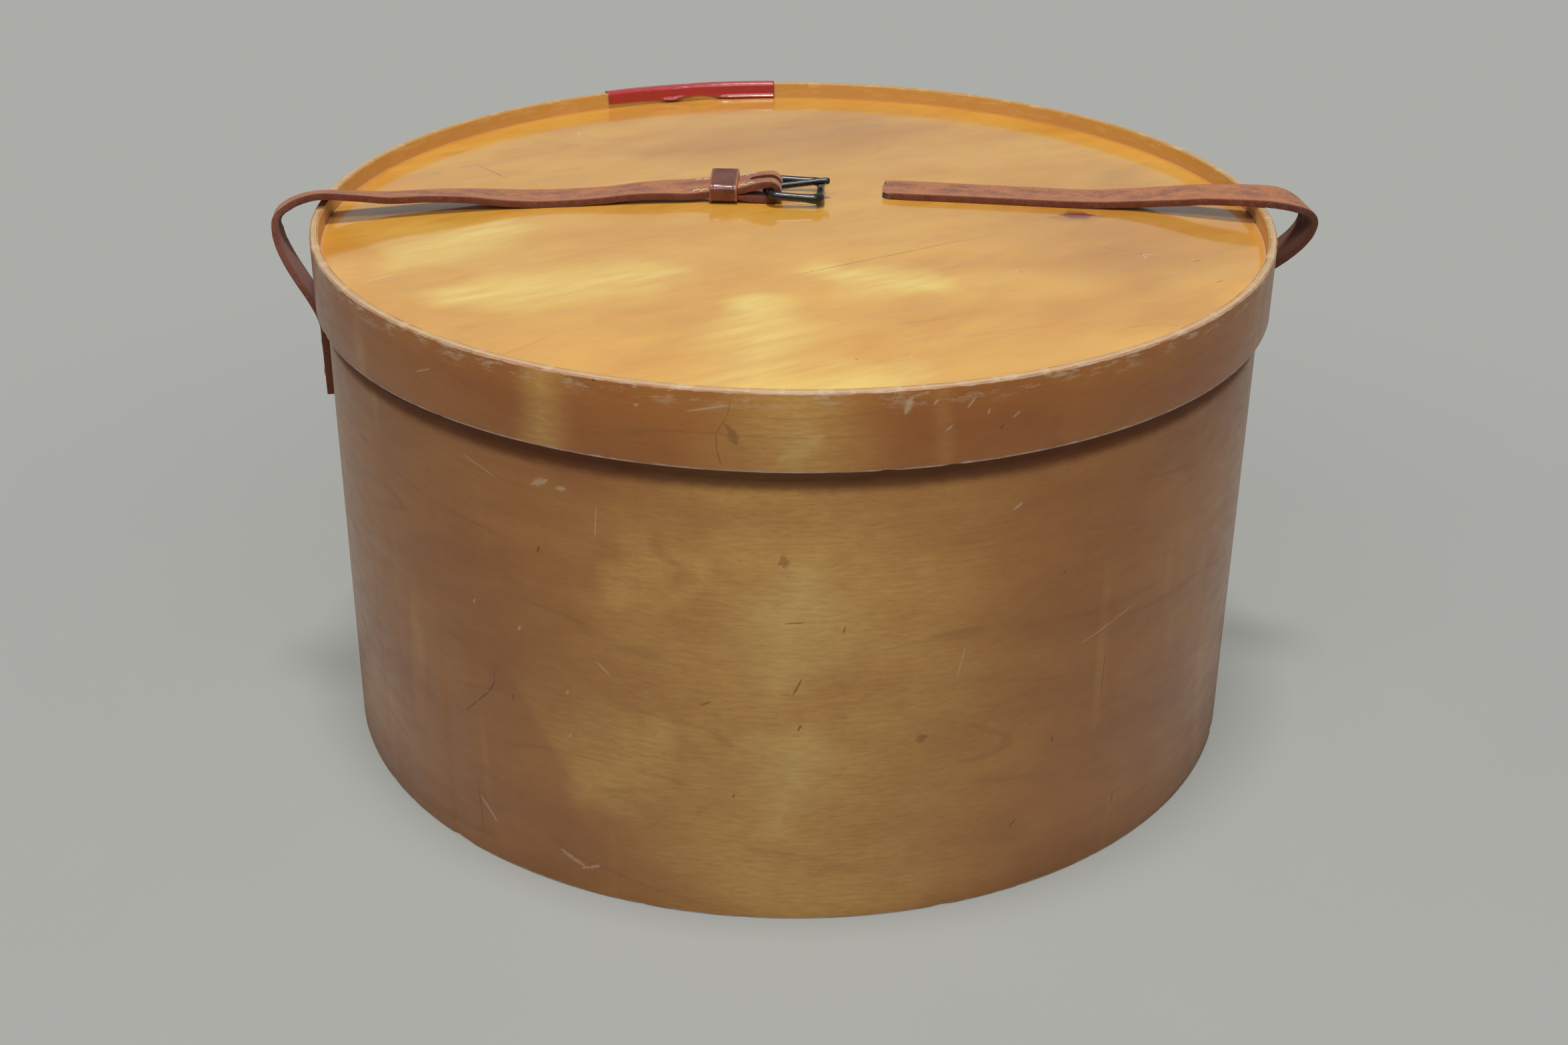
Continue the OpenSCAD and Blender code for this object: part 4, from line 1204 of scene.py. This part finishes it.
# %% Keeper finish
keeper_finish, sheet = new_finish("keeper_leather", Coat_Roughness=0.18)
skin = sheet.use(leather, Vector=sheet.place(), Tan=shade(126, 58, 38), Dirt=shade(74, 34, 28),
                 Dirt_Share=0.7)
wear = sheet.split(sheet.node("UVMap", uv_map="wear_lay").outputs["UV"])[0]
rubbed = sheet.step(sheet.plus(wear, sheet.times(sheet.minus(skin["Gloss"], 0.5), 1.2)), 0.35, 0.95)
sheet.put_out(Base_Color=sheet.mix(rubbed, skin["Color"], shade(190, 112, 66)),
              Roughness=sheet.step(skin["Gloss"], 0.3, 0.7, 0.26, 0.45),
              Coat_Weight=sheet.step(skin["Gloss"], 0.2, 0.8, 0.6, 0.25),
              Normal=sheet.bump(skin["Height"], 0.35, 0.0003))
print("keeper finish:", len(keeper_finish.node_tree.nodes), "nodes")

# %% Keeper
KEEPER_X0, KEEPER_X1, KEEPER_T = -29.5, -16.0, 2.3
KEEPER_HALF, KEEPER_LOW, KEEPER_HIGH, KEEPER_ROUND = 10.3, 243.45, 252.6, 2.4
KEEPER_LEAN, KEEPER_SAG, KEEPER_BEAD, KEEPER_RUB = 0.0125, 0.08, 2.2, 2.0


def loop_path(half, low, high, rounding, steps=9):
    """Places and outward directions round an upright rounded rectangle, as (across, up)."""
    places, outward = [], []
    for index, (y, z) in enumerate(((half, low), (half, high), (-half, high), (-half, low))):
        y -= math.copysign(rounding, y)
        z += rounding if z == low else -rounding
        for a in np.radians(np.linspace(-90 + 90 * index, 90 * index, steps)):
            places.append((y + rounding * math.cos(a), z + rounding * math.sin(a)))
            outward.append((math.cos(a), math.sin(a)))
    return np.array(places), np.array(outward)


def flipped(faces):
    """The same faces seen from their other side."""
    return [(a, d, c, b) for a, b, c, d in faces]


def build_keeper():
    places, outward = loop_path(KEEPER_HALF, KEEPER_LOW, KEEPER_HIGH, KEEPER_ROUND)
    half, top, bead = (KEEPER_X1 - KEEPER_X0) / 2, KEEPER_T / 2, KEEPER_BEAD
    band = round_outline(((-half, -top, 0.3), (half, -top, 0.3), (half, top, 0.7), (half - bead, top, 0.2),
                          (bead - half, top, 0.2), (-half, top, 0.7)), 6)
    rng = np.random.default_rng(81)
    points, worn = [], []
    for (y, z), (ny, nz) in zip(places, outward):
        for sx, sn in band:
            jitter = rng.normal(0, 0.05)
            x = (KEEPER_X0 + KEEPER_X1) / 2 + sx + jitter
            side, up = y + ny * (sn + jitter), z + nz * (sn + jitter)
            up += (up - KEEPER_LOW) * (KEEPER_LEAN * side - KEEPER_SAG)
            points.append(BAR + turned((x, side, up)))
            worn.append(min(max((abs(sx) - half + KEEPER_RUB) / KEEPER_RUB, 0), 1))
    faces = flipped(grid_faces(len(places), len(band)))
    made = add_mesh("keeper_loop", points, faces, keeper_finish)
    lays = [(worn[k], 0.5) for face in faces for k in face]
    made.data.uv_layers.new(name="wear_lay").data.foreach_set("uv", np.array(lays).ravel())
    mend(made)
    return made


keeper = build_keeper()
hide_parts("keeper")
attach(keeper, "left_strap")
print("keeper", len(keeper.data.polygons), "faces")

# %% [markdown]
# ## Rods and threads
# The buckle's frame, its prong and the stitches are all round in section. One function sweeps a circle
# along a line with its own radius at each point, so a rod can have lumps and a thread can dive into the
# leather.

# %% Tube
NO_ROD_WAY = (0.123, 0.456, 0.881)


def tube(points, radii, closed=False, sides=20):
    """Points and faces of a round rod along a line, in mm."""
    line = np.array(points, float)
    count = len(line)
    headings = np.roll(line, -1, 0) - np.roll(line, 1, 0) if closed else np.gradient(line, axis=0)
    headings /= np.linalg.norm(headings, axis=1)[:, None]
    side = np.cross(headings[0], NO_ROD_WAY)
    rings, faces = [], []
    for place, heading, radius in zip(line, headings, radii):
        side = unit(side - heading * side.dot(heading))
        other = np.cross(heading, side)
        for a in np.linspace(0, 2 * math.pi, sides, endpoint=False):
            rings.append(place + radius * (math.cos(a) * side + math.sin(a) * other))
    start, last = np.array(rings[:sides]), np.array(rings[-sides:])
    shift = int(np.argmin([np.linalg.norm(np.roll(start, s, 0) - last) for s in range(sides)]))
    for i in range(count if closed else count - 1):
        here, there = i * sides, (i + 1) % count * sides
        step = shift if there == 0 else 0
        for k in range(sides):
            nxt = (k + 1) % sides
            faces.append((here + k, here + nxt, there + (nxt - step) % sides, there + (k - step) % sides))
    if not closed:
        faces += [tuple(reversed(range(sides))), tuple(range((count - 1) * sides, count * sides))]
    return rings, faces


def add_tubes(name, tubes, material):
    """One object from several tubes."""
    points, faces = [], []
    for rings, loops in tubes:
        faces += [tuple(k + len(points) for k in loop) for loop in loops]
        points += list(rings)
    made = add_mesh(name, points, faces, material)
    mend(made)
    return made


print("tube ready")

# %% [markdown]
# ## Buckle
# The buckle is wire dipped in black japan, a thick glossy varnish that gathers in lumps and at the corners.
# The rod therefore swells and shrinks along its length, but not at the bar, which has to turn in the
# strap's fold. The gloss is left to the shader's coat.

# %% Black japan
japan_finish, sheet = new_finish("black_japan", Coat_Weight=0.9, Coat_Roughness=0.22, Specular_IOR_Level=0.08)
position = sheet.place()
lumps = sheet.noise(position, (300.0, 300.0, 300.0), 3.0, 0.55)
chipped = sheet.step(sheet.noise(position, (900.0, 900.0, 900.0), 3.0, 0.6), 0.68, 0.74)
black = sheet.mix(lumps, shade(5, 5, 6), shade(16, 14, 14))
sheet.put_out(Base_Color=sheet.mix(chipped, black, shade(110, 92, 78)),
              Roughness=sheet.step(lumps, 0.3, 0.7, 0.2, 0.45), Normal=sheet.bump(lumps, 0.8, 0.0009))
print("black japan:", len(japan_finish.node_tree.nodes), "nodes")

# %% Buckle frame
ROD_R, ROD_BEND, ROD_Y = 1.95, 4.0, 13.35
FAR_X, FAR_DROP = 24.465, 1.3
FRAME_LEAN = math.atan2(FAR_DROP, FAR_X)
FAT_CORNERS = ((23.5, -12.5, 0.24), (23.5, 12.5, 0.10), (1.0, -12.5, 0.10), (1.0, 12.5, 0.08))
FAT_SPREAD, LUMP, BAR_REACH, ROD_STEP = 14.0, 0.06, 0.6, 0.7


def on_frame(x, y):
    """A place in the buckle's leaning plane."""
    return BAR + turned((x * math.cos(FRAME_LEAN), y, BAR_Z - x * math.sin(FRAME_LEAN) + end_lift(x, y)))


def frame_path():
    """Even points round the frame, flat in its plane."""
    length = math.hypot(FAR_X, FAR_DROP)
    path = []
    for x, y, start in ((0, -ROD_Y, 180), (length, -ROD_Y, 270), (length, ROD_Y, 0), (0, ROD_Y, 90)):
        cx = x + (ROD_BEND if x == 0 else -ROD_BEND)
        cy = y + (ROD_BEND if y < 0 else -ROD_BEND)
        for a in np.radians(np.linspace(start, start + 90, 10)):
            path.append(np.array((cx + ROD_BEND * math.cos(a), cy + ROD_BEND * math.sin(a))))
    dense = []
    for a, b in zip(path, path[1:] + path[:1]):
        steps = max(1, int(math.dist(a, b) / ROD_STEP))
        dense += [a + (b - a) * s / steps for s in range(steps)]
    return np.array(dense)


def fatness(spot):
    """How much the varnish swells the rod near its corners."""
    return max(math.exp(-math.dist(spot, (x, y)) ** 2 / FAT_SPREAD) * most for x, y, most in FAT_CORNERS)


flat_path = frame_path()
lump = closed_noise(91, len(flat_path), 8.0)
radii = ROD_R * (1.0 + LUMP * lump + np.array([fatness(spot) for spot in flat_path]))
radii[flat_path[:, 0] < BAR_REACH] = ROD_R
wire = tube([on_frame(x, y) for x, y in flat_path], radii, closed=True)
frame_piece = add_tubes("buckle_wire", [wire], japan_finish)
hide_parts("buckle_frame")
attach(frame_piece, "buckle")
print("buckle frame", len(frame_piece.data.polygons), "faces")

# %% [markdown]
# ## Prong
# The prong is a second piece of wire, curled into an eye round the bar, and long enough to lie over the far
# rod. Its blunt tip bends down a little. A ring and a rod are joined by a boolean, so that the mesh stays
# one closed skin.

# %% Prong
EYE_IN, EYE_OUT, EYE_HALF, EYE_STEPS = 2.25, 3.75, 2.0, 64
PRONG_R, PRONG_LEN, PRONG_LIFT = 1.6, 26.2, math.radians(6.6)
PRONG_SKEW, SKEW_FROM = 0.09, 3.0
TIP_BEND, TIP_SWELL, TIP_ROOM = math.radians(8.0), 0.06, 0.8
BEND_STEP, END_STEP = 0.42, 0.24


def on_prong(x, y, z):
    """A place in the prong's own frame, from the bar."""
    y += PRONG_SKEW * max(x - SKEW_FROM, 0)
    return BAR + turned((x * math.cos(PRONG_LIFT) - z * math.sin(PRONG_LIFT), y,
                         BAR_Z + x * math.sin(PRONG_LIFT) + z * math.cos(PRONG_LIFT) + end_lift(x, y)))


def prong_eye():
    """Points and faces of the eye round the bar."""
    ring = round_outline(((EYE_IN, -EYE_HALF, 0.4), (EYE_OUT, -EYE_HALF, 0.6), (EYE_OUT, EYE_HALF, 0.6),
                          (EYE_IN, EYE_HALF, 0.4)))
    points = []
    for a in np.linspace(0, 2 * math.pi, EYE_STEPS, endpoint=False):
        points += [on_prong(r * math.cos(a), y, r * math.sin(a)) for r, y in ring]
    return points, flipped(grid_faces(EYE_STEPS, len(ring)))


def prong_rod():
    """Points and faces of the rod, straight and then bent and rounded at its tip."""
    line = [(x, 0.0, 0.0) for x in np.linspace((EYE_IN + EYE_OUT) / 2, PRONG_LEN - PRONG_R - TIP_ROOM, 34)]
    radii = [PRONG_R] * len(line)
    shares = np.linspace(0, 1, 9)[1:]
    steps = [(TIP_BEND * share, BEND_STEP, 1 + TIP_SWELL * share) for share in shares]
    for share in shares:
        steps.append((TIP_BEND, END_STEP, (1 + TIP_SWELL) * math.sqrt(max(1 - share ** 4, 0.02))))
    for bend, step, swell in steps:
        x, _, z = line[-1]
        line.append((x + step * math.cos(bend), 0.0, z - step * math.sin(bend)))
        radii.append(PRONG_R * swell)
    return tube([on_prong(*place) for place in line], radii)


prong = add_tubes("prong_wire", [prong_eye()], japan_finish)
combine(prong, "UNION", add_tubes("prong_rod", [prong_rod()], japan_finish))
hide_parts("buckle_prong")
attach(prong, "prong")
print("prong", len(prong.data.polygons), "faces")

# %% [markdown]
# ## Stitches
# Two stitches of waxed linen before and behind the keeper, along each edge, hold the fold. Each is a short
# arch that rises from the leather and dives back, and a fine twist in its finish makes it thread rather
# than wire.

# %% Thread
thread_finish, sheet = new_finish("linen_thread", Roughness=0.8)
inputs = {"Vector": sheet.place(), "Scale": 260.0, "Distortion": 3.0}
twist = sheet.node("TexWave", inputs, wave_type="BANDS").outputs["Fac"]
sheet.put_out(Base_Color=sheet.mix(twist, shade(196, 168, 128), shade(228, 208, 172)),
              Normal=sheet.bump(twist, 0.4, 0.0002))
print("thread:", len(thread_finish.node_tree.nodes), "nodes")

# %% Stitches
STITCH_Y, STITCH_FIRST, STITCH_PITCH, STITCH_REACH = 6.8, 2.4, 4.0, 2.05
THREAD_R, STITCH_RISE, STITCH_DIVE, WORN_IN = 0.6, 0.34, 1.5, 0.5
from_bar = (left_line[1] - BAR) @ turned((1, 0, 0))
upper = slice(int(np.argmax(from_bar > -60)), int(np.argmax(from_bar)))
upper_x, upper_z = from_bar[upper], left_line[1][upper, 2]


def stitch(x, y, slant, sunk=0.0):
    """A tube for one stitch, on the strap's upper layer."""
    arch = []
    for share in np.linspace(-1, 1, 13):
        along, side = x + share * STITCH_REACH, y + share * slant
        top = np.interp(along, upper_x, upper_z) + STRAP_THICK / 2 + end_lift(along, side)
        arch.append(BAR + turned((along, side, top + STITCH_RISE - sunk - STITCH_DIVE * share ** 4)))
    return tube(arch, [THREAD_R] * len(arch), sides=10)


stitch_tubes = []
for y in (-STITCH_Y, STITCH_Y):
    for gap in (STITCH_FIRST, STITCH_FIRST + STITCH_PITCH):
        stitch_tubes.append(stitch(KEEPER_X1 + gap, y, 0.1))
        stitch_tubes.append(stitch(KEEPER_X0 - gap, y, 0.55, WORN_IN if y > 0 else 0.0))
stitches = add_tubes("stitches", stitch_tubes, thread_finish)
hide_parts("strap_stitches")
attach(stitches, "left_strap")
print("stitches:", len(stitch_tubes))

# %% [markdown]
# ## Red tape
# A strip of red vinyl tape is folded over the rim at the back. Stuck tape is never smooth: it puckers where
# the rim's curve leaves too much of it, and its lower hem lifts and catches the light. A grid is laid over
# the rim, wrinkled by seeded noise, and given its thickness by a solidify.

# %% Vinyl
tape_finish, sheet = new_finish("vinyl_tape", Coat_Weight=1.0, Coat_Roughness=0.2)
stretch = sheet.noise(sheet.place(), (160.0, 160.0, 160.0), 3.0)
sheet.put_out(Base_Color=sheet.mix(stretch, shade(172, 18, 26), shade(192, 30, 38)),
              Roughness=sheet.step(stretch, 0.3, 0.7, 0.28, 0.45), Normal=sheet.bump(stretch, 0.3, 0.0004))
print("vinyl:", len(tape_finish.node_tree.nodes), "nodes")

# %% Tape profile
TAPE_OUT, TAPE_IN, TAPE_ROUND, TAPE_BEND = RIM_R + 0.3, RIM_IN - 0.7, 2.4, 1.0
TAPE_TOP, TAPE_FOOT, TAPE_HEM = rim_high / MM + 0.5, rim_high / MM - 14.0, panel_high + 0.65


def tape_profile():
    """Stations (radius, height, outward radius, outward height) from the outer hem to the inner one."""
    bend_r, bend_z, round_r = TAPE_OUT - TAPE_BEND, TAPE_TOP - TAPE_BEND, TAPE_IN + TAPE_ROUND
    profile = [(TAPE_OUT, z, 1.0, 0.0) for z in np.linspace(TAPE_FOOT, bend_z, 16)]
    for a in np.linspace(math.pi / 2, 0, 7)[1:]:
        out, up = math.sin(a), math.cos(a)
        profile.append((bend_r + TAPE_BEND * out, bend_z + TAPE_BEND * up, out, up))
    profile += [(r, TAPE_TOP, 0.0, 1.0) for r in np.linspace(bend_r, round_r, 5)[1:]]
    for a in np.linspace(0, math.pi / 2, 11)[1:]:
        out, up = -math.sin(a), math.cos(a)
        profile.append((round_r + TAPE_ROUND * out, TAPE_TOP - TAPE_ROUND * (1 - up), out, up))
    profile += [(TAPE_IN, z, -1.0, 0.0) for z in np.linspace(TAPE_TOP - TAPE_ROUND, TAPE_HEM, 10)[1:]]
    return profile


print("tape profile of", len(tape_profile()), "stations")

# %% Tape
TAPE_FROM, TAPE_TO, TAPE_COLUMNS = 85.0, 110.0, 150
PUCKER_AT, PUCKER_SPREAD = 97.0, 2.2
FLARE_AT, FLARE_SPREAD, FLARE_FROM, FLARE_SLOPE = 100.2, 1.4, 0.8, 9.0
FLARE_RUN = ((91.5, 94.0), (1.0, 0.0))
HEM_DROP = ((85, 93, 96, 98, 100, 104, 110), (1.0, 0.98, 0.72, 0.75, 0.92, 0.86, 0.8))
VINYL_T = 0.2


def build_tape():
    profile = tape_profile()
    ridge = closed_noise(101, TAPE_COLUMNS * 4, 7.0)[:TAPE_COLUMNS]
    slow = closed_noise(103, TAPE_COLUMNS * 4, 40.0)[:TAPE_COLUMNS]
    points = []
    for column, angle in enumerate(np.linspace(TAPE_FROM, TAPE_TO, TAPE_COLUMNS)):
        wrinkle = ridge[column]
        pucker = math.exp(-((angle - PUCKER_AT) / PUCKER_SPREAD) ** 2)
        flare = max(math.exp(-((angle - FLARE_AT) / FLARE_SPREAD) ** 2), np.interp(angle, *FLARE_RUN))
        drop, a = np.interp(angle, *HEM_DROP), math.radians(angle)
        for r, z, nr, nz in profile:
            lift = 0.06 + 0.05 * abs(wrinkle)
            if nr < -0.5:
                hem = (TAPE_TOP - z) / (TAPE_TOP - TAPE_HEM)
                lift += 0.7 * pucker * (0.4 + abs(wrinkle)) * hem
                lift += flare * FLARE_SLOPE * max(hem - FLARE_FROM, 0)
                z = TAPE_TOP - (TAPE_TOP - z) * drop
            elif nz > 0.2:
                lift += 0.35 * pucker * wrinkle + 0.12 * slow[column]
            points.append(((r + nr * lift) * math.cos(a), (r + nr * lift) * math.sin(a), z + nz * lift))
    faces = grid_faces(TAPE_COLUMNS, len(profile), ends_meet=False, ring_closed=False)
    made = add_mesh("tape", points, faces, tape_finish)
    thicken = made.modifiers.new("vinyl", "SOLIDIFY")
    thicken.thickness, thicken.offset = VINYL_T * MM, 0.0
    keep_shape(made)
    return made


tape = build_tape()
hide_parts("rim_tape")
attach(tape, "lid")
print("tape", len(tape.data.polygons), "faces")

# %% [markdown]
# ## Rivets
# Brass rivets with washers inside the wall hold the strap's tails. Their solids have the right domes and
# discs, so they keep them and get a tarnished brass.

# %% Brass
brass_finish, sheet = new_finish("old_brass", Metallic=1.0)
tarnish = sheet.noise(sheet.place(), (300.0, 300.0, 300.0), 4.0, 0.6)
sheet.put_out(Base_Color=sheet.mix(sheet.step(tarnish, 0.35, 0.7), shade(206, 164, 92), shade(112, 78, 44)),
              Roughness=sheet.step(tarnish, 0.3, 0.7, 0.25, 0.55), Normal=sheet.bump(tarnish, 0.2, 0.0002))
dress(brass_finish, "left_rivets", "right_rivets", "left_rivet_washers", "right_rivet_washers")
print("brass on four groups of solids")
